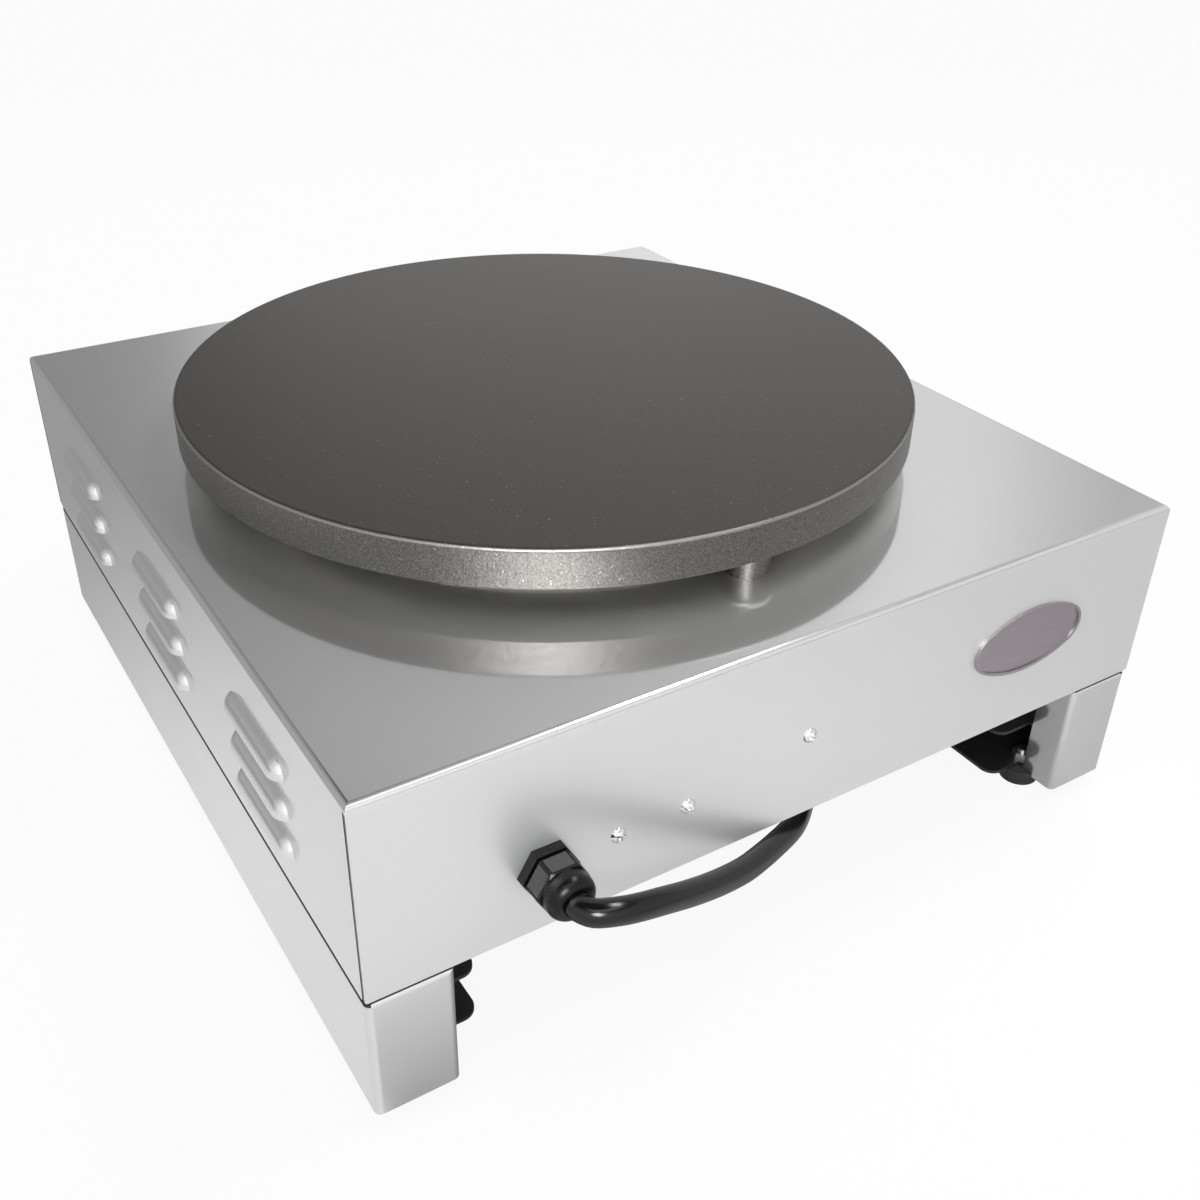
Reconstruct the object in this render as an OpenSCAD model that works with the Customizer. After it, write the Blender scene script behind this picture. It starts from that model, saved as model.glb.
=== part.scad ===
// Single-plate electric crepe griddle: a cast-iron plate on a folded sheet-metal housing.
// Millimetres. +Z is up and Z = 0 is the worktop under the rubber feet.
// The controls are on the front, at -Y. The mains lead leaves the back, at +Y.

/* [Housing] */
// Width of the housing, side to side
body_w = 456; // [440:1:520]
// Depth of the housing, front to back
body_d = 490; // [470:1:560]
// Height of the housing's walls, folded top included
body_h = 103; // [95:1:130]
// Thickness of the housing's stainless sheet
sheet = 1.5; // [1:0.1:2]
// Outside radius of the folds round the top
fold_r = 3; // [2.5:0.1:5]
// Width of the open seam down each corner
seam_gap = 1; // [0.4:0.1:1.5]
// Rounding of the walls' bottom corners
corner_r = 1.5; // [1:0.5:6]
// Width of the inward flange along the bottom of the walls
flange_w = 16; // [14:1:20]
// Diameter of the round opening under the plate
opening_d = 330; // [300:1:336]

/* [Louvres] */
// Groups of louvres along each side
louvre_groups = 3; // [1:1:3]
// Rows of louvres in a group
louvre_rows = 3; // [1:1:3]
// Length of one louvre along the side
louvre_len = 66; // [50:1:80]
// How far a louvre is pressed out of the side
louvre_proud = 5; // [3:0.5:7]
// How far a louvre's axis lies inside the side's face
louvre_sink = 5; // [4:0.5:7]
// Distance between the middles of the groups
louvre_group_pitch = 142; // [110:1:150]
// Distance between rows
louvre_pitch = 21.5; // [18:0.5:24]
// Height of the lowest lip above the bottom edge
louvre_z = 22; // [14:0.5:26]

/* [Base plate] */
// Thickness of the base plate
base_t = 1.2; // [1:0.1:2]
// How far the base plate stays inside the housing's faces
base_inset = 3; // [2:0.5:4]
// Length of a vent slot in the base plate
vent_len = 60; // [30:1:80]
// Width of a vent slot
vent_w = 6; // [4:0.5:8]
// Distance between vent slots
vent_pitch = 20; // [14:1:26]

/* [Legs] */
// Height of a side leg
leg_h = 68.8; // [60:0.1:90]
// Width of a leg's front and back faces
leg_return = 40.5; // [38:0.5:50]
// Thickness of the legs' sheet
leg_t = 2; // [1.5:0.1:2.5]
// Outside radius of the legs' upright corners
leg_corner_r = 3.5; // [3:0.5:7]
// Outside radius of the fold along the legs' top
leg_fold_r = 3; // [2.5:0.1:4]
// Depth of the lip folded back inside a leg's end faces
leg_lip = 21.5; // [16:0.5:21.5]
// Width of the flange along a leg's top
leg_flange_w = 25; // [20:1:34]

/* [Foot rails] */
// Height of the channel that carries the feet
rail_h = 30; // [24:1:40]
// Thickness of the channel's sheet
rail_t = 2; // [1.5:0.1:2.5]
// How far the channel's flanges reach in from the side
rail_reach = 63; // [56:1:80]
// Distance from the flanges' ends to the front and back faces
rail_setback = 25; // [24:1:34]
// Rounding of the flanges' free corners
rail_corner_r = 8; // [4:1:12]
// How far a leg's bottom edge reaches below its channel
skirt_drop = 2; // [1:0.5:3]

/* [Feet] */
// Height of a rubber foot
foot_h = 10; // [9:0.5:16]
// Diameter of a rubber foot at its top
foot_d = 26; // [22:1:28]
// Distance from a foot's middle to the side face
foot_side = 36; // [30:1:42]
// Distance from a foot's middle to the front or back face
foot_end = 27; // [27:1:45]
// Diameter of the foot bolts
foot_bolt_d = 6; // [5:1:6]

/* [Griddle plate] */
// Diameter of the cast plate
plate_d = 400; // [380:1:420]
// Height of the plate's rim
rim_h = 20; // [18:1:26]
// Width of the rim under the plate
rim_t = 12; // [8:1:14]
// Thickness of the plate inside the rim
plate_web = 14; // [12:0.5:16]
// Rounding of the plate's top edge
plate_edge_r = 2; // [1:0.5:3]
// Height of the lugs that the plate stands on
lug_h = 14; // [12:1:20]
// Diameter of a lug at its foot
lug_d = 21; // [18:1:24]
// Radius of the fillet where a lug joins the plate
lug_fillet = 3; // [2:0.5:4]
// Distance from the plate's middle to a lug
lug_ring_r = 184; // [182:1:186]
// Number of lugs
lug_count = 3; // [3:1:3]
// Diameter of the bolts that hold the plate down
plate_bolt_d = 6; // [5:1:8]

/* [Heating] */
// Diameter of the tubular elements
element_d = 8.5; // [6.5:0.5:8.5]
// Ring radius of the outer element
outer_ring_r = 145; // [138:1:148]
// Ring radius of the inner element
inner_ring_r = 95; // [85:1:100]
// Arc that each element covers, in degrees
element_arc = 336; // [300:1:340]
// Depth of the grooves for the elements
groove_depth = 2; // [1:0.5:3]
// Thickness of the clamp plate under the elements
clamp_t = 2; // [1.5:0.5:3]
// Diameter of the clamp plate
clamp_d = 316; // [310:1:318]
// Ring radius of the clamp studs
stud_ring_r = 120; // [116:1:124]
// Diameter of the clamp studs
stud_d = 6; // [5:1:6]
// Depth of the heat shield's pan
pan_depth = 14; // [10:1:20]
// Thickness of the heat shield
pan_t = 1.2; // [0.8:0.1:1.5]

/* [Controls] */
// Height of the controls' middle above the housing's bottom edge
control_z = 51; // [46:1:56]
// Sideways place of the thermostat
thermostat_x = 75; // [60:1:100]
// Sideways place of the switch
switch_x = -75; // [-100:1:-60]
// Distance between the two lamps
lamp_pitch = 30; // [24:1:40]
// Diameter of the knob
knob_d = 46; // [40:1:50]
// Number of flutes round the knob's grip
flute_count = 14; // [10:1:18]
// Depth of the knob
knob_h = 21; // [18:1:26]
// Diameter of the thermostat's shaft
shaft_d = 6; // [5:0.5:6]
// Turn of the knob from off to full heat, in degrees
knob_turn = 270; // [240:5:300]
// Diameter of the dial plate
dial_d = 66; // [58:1:72]
// Width of the rocker
rocker_w = 17; // [14:0.5:18]
// Reach of the rocker's ends from its pivot
rocker_r = 13.4; // [12:0.2:13.6]
// Tilt of the rocker to each side, in degrees
rocker_tilt = 8; // [5:1:10]

/* [Mains entry] */
// Distance of the gland from the housing's right side, seen from the back
gland_side = 83.7; // [70:0.1:90]
// Height of the gland above the housing's bottom edge
gland_z = 33.8; // [30:0.1:45]
// Width of the gland's hexagons across flats
gland_af = 24; // [22:0.5:27]
// Diameter of the gland's thread
gland_thread_d = 20; // [18:1:20]
// Thickness of the gland's hexagon flange
gland_flange_t = 5; // [4:0.5:6]
// Width of the gland's nut across flats
gland_cap_af = 22.5; // [22:0.5:24]
// Length of the gland's nut, dome included
gland_cap_l = 20; // [16:0.5:24]
// Diameter of the rubber lead
cord_d = 12; // [9:0.5:13]
// Diameter of the plug
plug_d = 37; // [36:1:40]

/* [Back panel] */
// Distances of the three screws from the side that the gland is nearer to
back_screw_sides = [119.5, 155.9, 223.4];
// Heights of the three screws above the housing's bottom edge
back_screw_heights = [34.6, 34.6, 46.8];
// Length of the oval plate
badge_l = 74; // [60:1:90]
// Height of the oval plate
badge_h = 37; // [30:1:44]
// Distance of the oval plate's middle from the same side
badge_side = 364; // [340:1:380]
// Height of the oval plate's middle above the housing's bottom edge
badge_z = 52.5; // [40:0.5:60]

/* [Hidden] */
$fn = 64;
// Running clearance of a shaft or pivot in its bore, on the radius
run_fit = 0.05;
// Clearance round a bolt, screw or lead in its hole, on the radius
hole_fit = 0.25;
// Gap left between pieces that slide past or stand next to each other
side_fit = 0.3;
// Gap left under the elements, which only rest on the clamp plate
element_fit = 0.1;
// Length by which a cutter passes the surface that it cuts
over = 1;

screw_d = 4;
screw_head_d = 8;
screw_head_h = 2.6;
screw_line = 9;
lug_draft = 1;

rail_z = foot_h;
leg_z = foot_h - skirt_drop;
base_z = leg_z + leg_h;
body_z = base_z + base_t;
top_z = body_z + body_h;
rim_z = top_z + lug_h;
plate_top_z = rim_z + rim_h;
web_z = plate_top_z - plate_web;
element_z = web_z + groove_depth - element_d / 2;
clamp_z = element_z - element_d / 2 - element_fit - clamp_t;
pan_top_z = top_z - sheet;
pan_z = pan_top_z - pan_depth;
pan_r = opening_d / 2 - 1;
pan_flange_r = lug_ring_r + lug_d / 2;
opening_wall_r = pan_r - pan_t;
pad_top_z = clamp_z - side_fit;
terminal_z = pan_z - 20;
terminal_tip_l = 10;
element_bend_r = 8;
control_height = body_z + control_z;
gland_x = body_w / 2 - gland_side;
gland_height = body_z + gland_z;
gland_end = gland_flange_t + gland_cap_l;
gland_bore_r = cord_d / 2 + hole_fit;
nut_af = 10;
nut_h = 5;
bulb_d = 6;
bulb_len = 70;
bulb_spread = 12;
capillary_d = 2;
capillary_y = -bulb_len / 2 - 6;
capillary_z = pan_z - 10;
lamp_d = 10;
lamp_bezel_d = 14;
neck_d = 10;
dial_t = 1;
knob_gap = 1;
skirt_h = 5;
grip_r = knob_d * 0.36;
thermostat_w = 40;
thermostat_h = 44;
thermostat_depth = 30;
switch_wall = 2.5;
switch_depth = 24;
bezel_t = 2.5;
bezel_lip = 2;
switch_w = rocker_w + 2 * (side_fit + switch_wall);
switch_h = 2 * (rocker_r + side_fit + switch_wall - 1);

// The lead's route from the gland to its coil, and from the coil to the plug
cord_route = [
    [144.3, 270, 111.8], [144.3, 272.5, 111.8], [141, 277.5, 111.8], [134, 280.5, 111.3],
    [124, 281.5, 109], [110, 280, 104.4], [92, 276, 96.5], [72, 270, 87.5], [52, 263, 79.5],
    [37, 256.5, 74.5], [22, 249.5, 70], [4, 240, 64.5], [-16, 224, 56], [-36, 203, 43],
    [-54, 175, 26], [-70, 143, 13], [-78, 115, 6]
];
coil_centre = [-6, 85];
coil_ring_r = 66;
coil_turns_across = 2;
coil_layers = 2;
tail_route = [[36, 19, 18], [50, 19, 18.5], [64, 19, 18.5]];

// ---- Flat shapes ----

// Rectangle about the origin with round corners
module round_rect(w, h, r) {
    square([w - 2 * r, h], center = true);
    square([w, h - 2 * r], center = true);
    for (x = [-1, 1], y = [-1, 1]) translate([x * (w / 2 - r), y * (h / 2 - r)]) circle(r);
}

// Section of a folded box: open below, with its two top corners round
module arch(w, h, r) {
    translate([-w / 2, 0]) square([w, h - r]);
    translate([-w / 2 + r, 0]) square([w - 2 * r, h]);
    for (s = [-1, 1]) translate([s * (w / 2 - r), h - r]) circle(r);
}

// Hexagon by its width across flats
module hexagon(af) {
    circle(d = af / cos(30), $fn = 6);
}

// Oval of four arcs, a and b being half its length and height. Its ends stand a hair proud
// of the true tangent arc, so that every arc crosses the next at a clear angle.
module oval(a, b) {
    end_r = b * 0.65;
    meet_r = end_r - 0.03;
    c = a - end_r;
    side_r = (c * c + b * b - meet_r * meet_r) / (2 * (b - meet_r));
    joint_x = c + meet_r * c / (side_r - meet_r);
    intersection() {
        translate([0, b - side_r]) circle(side_r, $fn = 180);
        translate([0, side_r - b]) circle(side_r, $fn = 180);
        square([2 * joint_x, 4 * b], center = true);
    }
    for (s = [-1, 1]) translate([s * c, 0]) circle(end_r);
}

// ---- Solid helpers ----

// Block about the Z axis whose four top edges are folds
module folded_block(w, d, h, r) {
    intersection() {
        rotate([90, 0, 0]) linear_extrude(d, center = true) arch(w, h, r);
        rotate([90, 0, 90]) linear_extrude(w, center = true) arch(d, h, r);
    }
}

// Places a child drawn on the XY plane onto the front panel, with its +Z outwards
module on_front(x, z) {
    translate([x, -body_d / 2, z]) rotate([90, 0, 0]) children();
}

// The same for the back panel, where a child's +X runs to -X
module on_back(x, z) {
    translate([x, body_d / 2, z]) rotate([90, 0, 180]) children();
}

module hex_bolt(d, length, af, head_h) {
    cylinder(d = d, h = length);
    translate([0, 0, -head_h]) linear_extrude(head_h) hexagon(af);
}

module pan_screw(length) {
    dome_r = (pow(screw_head_d / 2, 2) + pow(screw_head_h, 2)) / (2 * screw_head_h);
    cylinder(d = screw_d, h = length);
    difference() {
        intersection() {
            translate([0, 0, dome_r - screw_head_h]) sphere(dome_r);
            translate([0, 0, -screw_head_h]) cylinder(d = screw_head_d, h = screw_head_h);
        }
        for (a = [0, 90]) rotate(a) translate([-2.2, -0.45, -screw_head_h - over]) cube([4.4, 0.9, over + 1.5]);
    }
}

// Round tube along a few straight runs, with a slightly larger ball at each bend
module bent_tube(points, d) {
    for (i = [0 : len(points) - 2]) {
        a = points[i];
        b = points[i + 1];
        run = b - a;
        translate(a)
            rotate([0, acos(run[2] / norm(run)), atan2(run[1], run[0])])
                cylinder(d = d, h = norm(run));
        if (i > 0) translate(a) sphere(d = d * 1.1);
    }
}

// ---- Folded sheet metal ----

// Pill along Y that shapes a louvre, its outline being louvre_len long where it meets the side
module louvre_pill(r) {
    outer_r = louvre_proud + louvre_sink;
    half = louvre_len / 2 - sqrt(pow(outer_r, 2) - pow(louvre_sink, 2)) + r;
    end_r = r - 0.5;
    rotate([-90, 0, 0]) rotate_extrude() intersection() {
        union() {
            translate([0, -half]) square([r - end_r, 2 * half]);
            translate([0, end_r - half]) square([r, 2 * (half - end_r)]);
            for (s = [-1, 1]) translate([r - end_r, s * (half - end_r)]) circle(end_r);
        }
        translate([0, -louvre_len]) square([r + over, 2 * louvre_len]);
    }
}

module louvre_hood() {
    r = louvre_proud + louvre_sink;
    intersection() {
        difference() {
            louvre_pill(r);
            louvre_pill(r - sheet * 0.8);
        }
        translate([louvre_sink - sheet, -louvre_len, 0]) cube([r, 2 * louvre_len, r + over]);
    }
}

module louvre_slot() {
    r = louvre_proud + louvre_sink;
    intersection() {
        louvre_pill(r - sheet * 0.8);
        translate([0, -louvre_len, 0]) cube([louvre_sink + over, 2 * louvre_len, r]);
    }
}

// Places a child at every louvre of the +X side
module at_louvres() {
    for (g = [0 : louvre_groups - 1], k = [0 : louvre_rows - 1])
        translate([
            body_w / 2 - louvre_sink,
            (g - (louvre_groups - 1) / 2) * louvre_group_pitch,
            louvre_z + k * louvre_pitch
        ]) children();
}

module both_sides() {
    children();
    mirror([1, 0, 0]) children();
}

module corner_nick() {
    translate([0, 0, -over]) linear_extrude(sheet + 2 * over) difference() {
        translate([-over, -over]) square(corner_r + over);
        translate([corner_r, corner_r]) circle(corner_r);
    }
}

// Cuts the seam and rounds the walls' bottom corners at the +X +Y corner
module corner_seam() {
    side_edge = body_d / 2 - sheet - seam_gap;
    translate([body_w / 2 - sheet - over, side_edge, -over])
        cube([sheet + 2 * over, seam_gap, body_h - fold_r + over]);
    translate([body_w / 2 - sheet, side_edge, 0]) rotate([90, 0, 90]) mirror([1, 0, 0]) corner_nick();
    translate([body_w / 2, body_d / 2, 0]) rotate([90, 0, 0]) mirror([1, 0, 0]) corner_nick();
}

module bottom_flanges() {
    end_gap = flange_w + 2 * sheet;
    for (s = [-1, 1]) {
        translate([-body_w / 2 + end_gap, s > 0 ? body_d / 2 - flange_w : -body_d / 2, 0])
            cube([body_w - 2 * end_gap, flange_w, sheet]);
        translate([s > 0 ? body_w / 2 - flange_w : -body_w / 2, -body_d / 2 + end_gap, 0])
            cube([flange_w, body_d - 2 * end_gap, sheet]);
    }
}

// Screw places along the bottom: under the legs, and along the front and back
leg_screw_y = [-body_d / 2 + 65, -body_d / 6, body_d / 6, body_d / 2 - 65];
edge_screw_x = [-body_w / 6, body_w / 6];

module at_leg_screws() {
    for (s = [-1, 1], y = leg_screw_y) translate([s * (body_w / 2 - screw_line), y, 0]) children();
}

module at_edge_screws() {
    for (x = edge_screw_x, s = [-1, 1]) translate([x, s * (body_d / 2 - screw_line), 0]) children();
}

module base_screw_holes(z, h) {
    translate([0, 0, z]) {
        at_leg_screws() cylinder(d = screw_d + 2 * hole_fit, h = h);
        at_edge_screws() cylinder(d = screw_d + 2 * hole_fit, h = h);
    }
}

module at_lugs() {
    for (i = [0 : lug_count - 1]) rotate(90 + i * 360 / lug_count) translate([lug_ring_r, 0, 0]) children();
}

module at_back_screws() {
    for (i = [0 : len(back_screw_sides) - 1])
        on_back(body_w / 2 - back_screw_sides[i], body_z + back_screw_heights[i]) children();
}

module panel_hole(d) {
    translate([0, 0, -sheet - over]) cylinder(d = d, h = sheet + 2 * over);
}

module housing() {
    color("#c9cbcc") difference() {
        translate([0, 0, body_z]) difference() {
            union() {
                difference() {
                    folded_block(body_w, body_d, body_h, fold_r);
                    translate([0, 0, -over])
                        folded_block(body_w - 2 * sheet, body_d - 2 * sheet, body_h - sheet + over, fold_r - sheet);
                    both_sides() at_louvres() louvre_slot();
                }
                bottom_flanges();
                both_sides() at_louvres() louvre_hood();
            }
            both_sides() {
                corner_seam();
                mirror([0, 1, 0]) corner_seam();
            }
            translate([0, 0, body_h - sheet - over]) cylinder(d = opening_d, h = sheet + 2 * over, $fn = 180);
        }
        base_screw_holes(body_z - over, sheet + 2 * over);
        translate([0, 0, top_z - sheet - over])
            at_lugs() cylinder(d = plate_bolt_d + 2 * hole_fit, h = sheet + 2 * over);
        on_front(thermostat_x, control_height) panel_hole(neck_d + 2 * hole_fit);
        on_front(switch_x, control_height) translate([0, 0, -sheet - over])
            linear_extrude(sheet + 2 * over) square([switch_w + 2 * hole_fit, switch_h + 2 * hole_fit], center = true);
        for (s = [-1, 1])
            on_front(s * lamp_pitch / 2, control_height) panel_hole(lamp_d + 2 * hole_fit);
        on_back(gland_x, gland_height) panel_hole(gland_thread_d + 2 * hole_fit);
        at_back_screws() panel_hole(screw_d + 2 * hole_fit);
    }
}

module base_plate() {
    color("#b4b6b7") difference() {
        translate([0, 0, base_z]) linear_extrude(base_t)
            round_rect(body_w - 2 * base_inset, body_d - 2 * base_inset, corner_r);
        base_screw_holes(base_z - over, base_t + 2 * over);
        for (row = [-1, 1], i = [-3 : 3])
            translate([i * vent_pitch, row * body_d / 4, base_z - over])
                linear_extrude(base_t + 2 * over) round_rect(vent_w, vent_len, vent_w / 2 - 0.01);
        translate([earth_x, earth_y, base_z - over]) cylinder(d = earth_d + 2 * hole_fit, h = base_t + 2 * over);
    }
}

// Closed leg shape, drawn in by inset on every face but the bottom
module leg_block(inset, drop) {
    w = leg_return - 2 * inset;
    d = body_d - 2 * inset;
    h = leg_h - inset;
    translate([body_w / 2 - leg_return / 2, 0, leg_z - drop]) intersection() {
        linear_extrude(h + drop) round_rect(w, d, leg_corner_r - inset);
        rotate([90, 0, 0]) linear_extrude(d + 2, center = true) arch(w, h + drop, leg_fold_r - inset);
        rotate([90, 0, 90]) linear_extrude(w + 2, center = true) arch(d, h + drop, leg_fold_r - inset);
    }
}

module side_leg() {
    // The lips stop short of the nuts on the feet's bolts
    lip = min(leg_lip, foot_end - nut_af / 2 - side_fit);
    difference() {
        leg_block(0, 0);
        leg_block(leg_t, over);
        translate([body_w / 2 - leg_return - over, -body_d / 2 + lip, leg_z - over])
            cube([leg_return + over - leg_flange_w, body_d - 2 * lip, leg_h + 2 * over]);
        base_screw_holes(base_z - leg_t - over, leg_t + 2 * over);
        // Keeps the lips clear of the feet
        at_feet_right() cylinder(d = foot_d + 2 * side_fit, h = foot_h + side_fit);
    }
}

module side_leg_right() {
    color("#c4c6c7") side_leg();
}

module side_leg_left() {
    color("#c4c6c7") mirror([1, 0, 0]) side_leg();
}

module foot_rail() {
    difference() {
        union() {
            translate([0, 0, rail_z]) linear_extrude(rail_t) rail_flange();
            translate([0, 0, rail_z + rail_h - rail_t]) linear_extrude(rail_t) rail_flange();
            translate([body_w / 2 - leg_t - rail_t, -body_d / 2 + rail_setback, rail_z])
                cube([rail_t, body_d - 2 * rail_setback, rail_h]);
        }
        at_feet_right() translate([0, 0, rail_z - over])
            cylinder(d = foot_bolt_d + 2 * hole_fit, h = rail_t + 2 * over);
    }
}

// Outline of a channel flange: fills the leg's inside and reaches further in between its lips
module rail_flange() {
    inner_w = leg_return - 2 * leg_t - side_fit;
    translate([body_w / 2 - leg_t - inner_w / 2, 0])
        round_rect(inner_w, body_d - 2 * leg_t - 2 * side_fit, leg_corner_r - leg_t + side_fit);
    translate([body_w / 2 - leg_t - rail_corner_r - over, -body_d / 2 + rail_setback])
        square([rail_corner_r + over, body_d - 2 * rail_setback]);
    translate([body_w / 2 - (rail_reach + leg_t) / 2, 0])
        round_rect(rail_reach - leg_t, body_d - 2 * rail_setback, rail_corner_r);
}

module foot_rail_right() {
    color("#8d8f90") foot_rail();
}

module foot_rail_left() {
    color("#8d8f90") mirror([1, 0, 0]) foot_rail();
}

module at_feet_right() {
    for (s = [-1, 1]) translate([body_w / 2 - foot_side, s * (body_d / 2 - foot_end), 0]) children();
}

// ---- Feet ----

module rubber_foot() {
    head_r = foot_bolt_d + 0.5;
    color("#2b2b2c") difference() {
        union() {
            cylinder(d1 = foot_d - 4, d2 = foot_d, h = foot_h - 3);
            translate([0, 0, foot_h - 3]) cylinder(d = foot_d, h = 3);
        }
        translate([0, 0, -over]) cylinder(r = head_r, h = foot_h / 2 + over);
        cylinder(d = foot_bolt_d + 2 * hole_fit, h = foot_h + over);
    }
}

module foot_at(sx, sy) {
    translate([sx * (body_w / 2 - foot_side), sy * (body_d / 2 - foot_end), 0]) rubber_foot();
}

module foot_front_left() {
    foot_at(-1, -1);
}

module foot_front_right() {
    foot_at(1, -1);
}

module foot_rear_left() {
    foot_at(-1, 1);
}

module foot_rear_right() {
    foot_at(1, 1);
}

module foot_bolts() {
    color("#a8a9aa") both_sides() at_feet_right() {
        translate([0, 0, foot_h / 2]) hex_bolt(foot_bolt_d, foot_h / 2 + rail_t + nut_h + 2, nut_af, 3.5);
        translate([0, 0, rail_z + rail_t]) linear_extrude(nut_h) hexagon(nut_af);
    }
}

module base_screws() {
    color("#a8a9aa") {
        translate([0, 0, base_z - leg_t]) at_leg_screws() pan_screw(leg_t + base_t + sheet + 3);
        translate([0, 0, base_z]) at_edge_screws() pan_screw(base_t + sheet + 3);
    }
}

// ---- Griddle plate and heating ----

module ring_groove(ring_r) {
    translate([0, 0, element_z]) rotate_extrude($fn = 120)
        translate([ring_r, 0]) circle(d = element_d + 2 * side_fit);
}

module at_studs() {
    for (i = [0 : 2]) rotate(30 + i * 120) translate([stud_ring_r, 0, 0]) children();
}

// Half section of a lug: drafted, with a fillet up to the rim and a root inside the plate
module lug_section() {
    foot_r = lug_d / 2;
    root_r = foot_r + lug_draft;
    polygon([[0, 0], [foot_r, 0], [root_r, lug_h - lug_fillet], [root_r, lug_h + over], [0, lug_h + over]]);
    difference() {
        translate([0, lug_h - lug_fillet]) square([root_r + lug_fillet, lug_fillet + over]);
        translate([root_r + lug_fillet, lug_h - lug_fillet]) circle(lug_fillet);
    }
    translate([0, lug_h]) square([root_r, web_z - rim_z + over]);
}

module griddle_plate() {
    color("#4a4644") difference() {
        union() {
            rotate_extrude($fn = 240) difference() {
                union() {
                    translate([0, web_z]) square([plate_d / 2, plate_web - plate_edge_r]);
                    translate([0, web_z]) square([plate_d / 2 - plate_edge_r, plate_web]);
                    translate([plate_d / 2 - plate_edge_r, plate_top_z - plate_edge_r]) circle(plate_edge_r);
                    translate([plate_d / 2 - rim_t, rim_z]) square([rim_t, rim_h - plate_web + over]);
                }
                translate([-plate_d, 0]) square([plate_d, plate_top_z + over]);
            }
            at_lugs() translate([0, 0, top_z]) rotate_extrude() lug_section();
        }
        ring_groove(outer_ring_r);
        ring_groove(inner_ring_r);
        at_lugs() translate([0, 0, top_z - over]) cylinder(d = plate_bolt_d, h = lug_h + 3 + over);
        at_studs() translate([0, 0, web_z - over]) cylinder(d = stud_d, h = plate_web / 2 + over);
    }
}

// Quarter bend of a tube: comes in along -Y at the origin and leaves downwards
module elbow(d, bend_r) {
    translate([0, 0, -bend_r]) rotate([0, -90, 180]) rotate_extrude(angle = 90)
        translate([bend_r, 0]) circle(d = d);
}

// Places a child at both ends of an element's ring, with the ring's gap towards its -Y
module at_ring_ends(ring_r) {
    half_gap = (360 - element_arc) / 2;
    rotate(half_gap - 90) translate([ring_r, 0, 0]) children();
    mirror([1, 0, 0]) rotate(half_gap - 90) translate([ring_r, 0, 0]) children();
}

module element(ring_r) {
    leg_top = element_z - element_bend_r;
    rotate((360 - element_arc) / 2 - 90) translate([0, 0, element_z])
        rotate_extrude(angle = element_arc, $fn = 120) translate([ring_r, 0]) circle(d = element_d);
    at_ring_ends(ring_r) {
        translate([0, 0, element_z]) elbow(element_d, element_bend_r);
        translate([0, -element_bend_r, terminal_z]) cylinder(d = element_d, h = leg_top - terminal_z);
        translate([0, -element_bend_r, terminal_z - terminal_tip_l])
            cylinder(d = element_d / 2, h = terminal_tip_l);
    }
}

// Holes for the elements' legs, from height z upwards
module terminal_holes(z, h) {
    for (ring_r = [outer_ring_r, inner_ring_r]) at_ring_ends(ring_r)
        translate([0, -element_bend_r, z]) cylinder(d = element_d + 2 * side_fit, h = h);
}

// Holes for the two capillaries
module capillary_holes(z, h) {
    for (s = [-1, 1]) translate([s * bulb_spread, capillary_y, z]) cylinder(d = capillary_d + 4, h = h);
}

module outer_element() {
    color("#6d6a66") element(outer_ring_r);
}

module inner_element() {
    color("#6d6a66") element(inner_ring_r);
}

module clamp_plate() {
    slot_w = element_d + 2 * side_fit;
    color("#9b9c9c") difference() {
        translate([0, 0, clamp_z]) cylinder(d = clamp_d, h = clamp_t, $fn = 180);
        terminal_holes(clamp_z - over, clamp_t + 2 * over);
        // Each hole opens into a slot under the elbow above it
        for (ring_r = [outer_ring_r, inner_ring_r]) at_ring_ends(ring_r)
            translate([-slot_w / 2, -element_bend_r, clamp_z - over])
                cube([slot_w, element_bend_r, clamp_t + 2 * over]);
        capillary_holes(clamp_z - over, clamp_t + 2 * over);
        at_studs() translate([0, 0, clamp_z - over]) cylinder(d = stud_d + 2 * hole_fit, h = clamp_t + 2 * over);
    }
}

module clamp_studs() {
    color("#a8a9aa") at_studs() translate([0, 0, clamp_z - nut_h - 2])
        cylinder(d = stud_d, h = web_z + plate_web / 2 - clamp_z + nut_h + 2);
}

module clamp_nuts() {
    color("#a8a9aa") at_studs() translate([0, 0, clamp_z - nut_h]) difference() {
        linear_extrude(nut_h) hexagon(nut_af);
        translate([0, 0, -over]) cylinder(d = stud_d, h = nut_h + 2 * over);
    }
}

module insulation_pad() {
    color("#d9d2c0") difference() {
        translate([0, 0, pan_z + pan_t]) cylinder(r = opening_wall_r - side_fit, h = pad_top_z - pan_z - pan_t, $fn = 120);
        terminal_holes(pan_z, pad_top_z - pan_z + over);
        capillary_holes(pan_z, pad_top_z - pan_z + over);
        at_studs() translate([0, 0, clamp_z - nut_h - 3]) cylinder(d = nut_af + 3, h = nut_h + 4);
    }
}

module heat_shield() {
    color("#b9bbbc") difference() {
        rotate_extrude($fn = 180) {
            translate([0, pan_z]) square([pan_r, pan_t]);
            translate([pan_r - pan_t, pan_z]) square([pan_t, pan_depth]);
            translate([pan_r - pan_t, pan_top_z - pan_t]) square([pan_flange_r - pan_r + pan_t, pan_t]);
        }
        terminal_holes(pan_z - over, pan_t + 2 * over);
        capillary_holes(pan_z - over, pan_t + 2 * over);
        at_lugs() translate([0, 0, pan_z]) cylinder(d = plate_bolt_d + 2 * hole_fit, h = pan_depth + over);
    }
}

module plate_bolts() {
    color("#a8a9aa") at_lugs() translate([0, 0, pan_top_z - pan_t])
        hex_bolt(plate_bolt_d, pan_t + sheet + lug_h, nut_af, 4);
}

// ---- Controls ----

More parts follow.
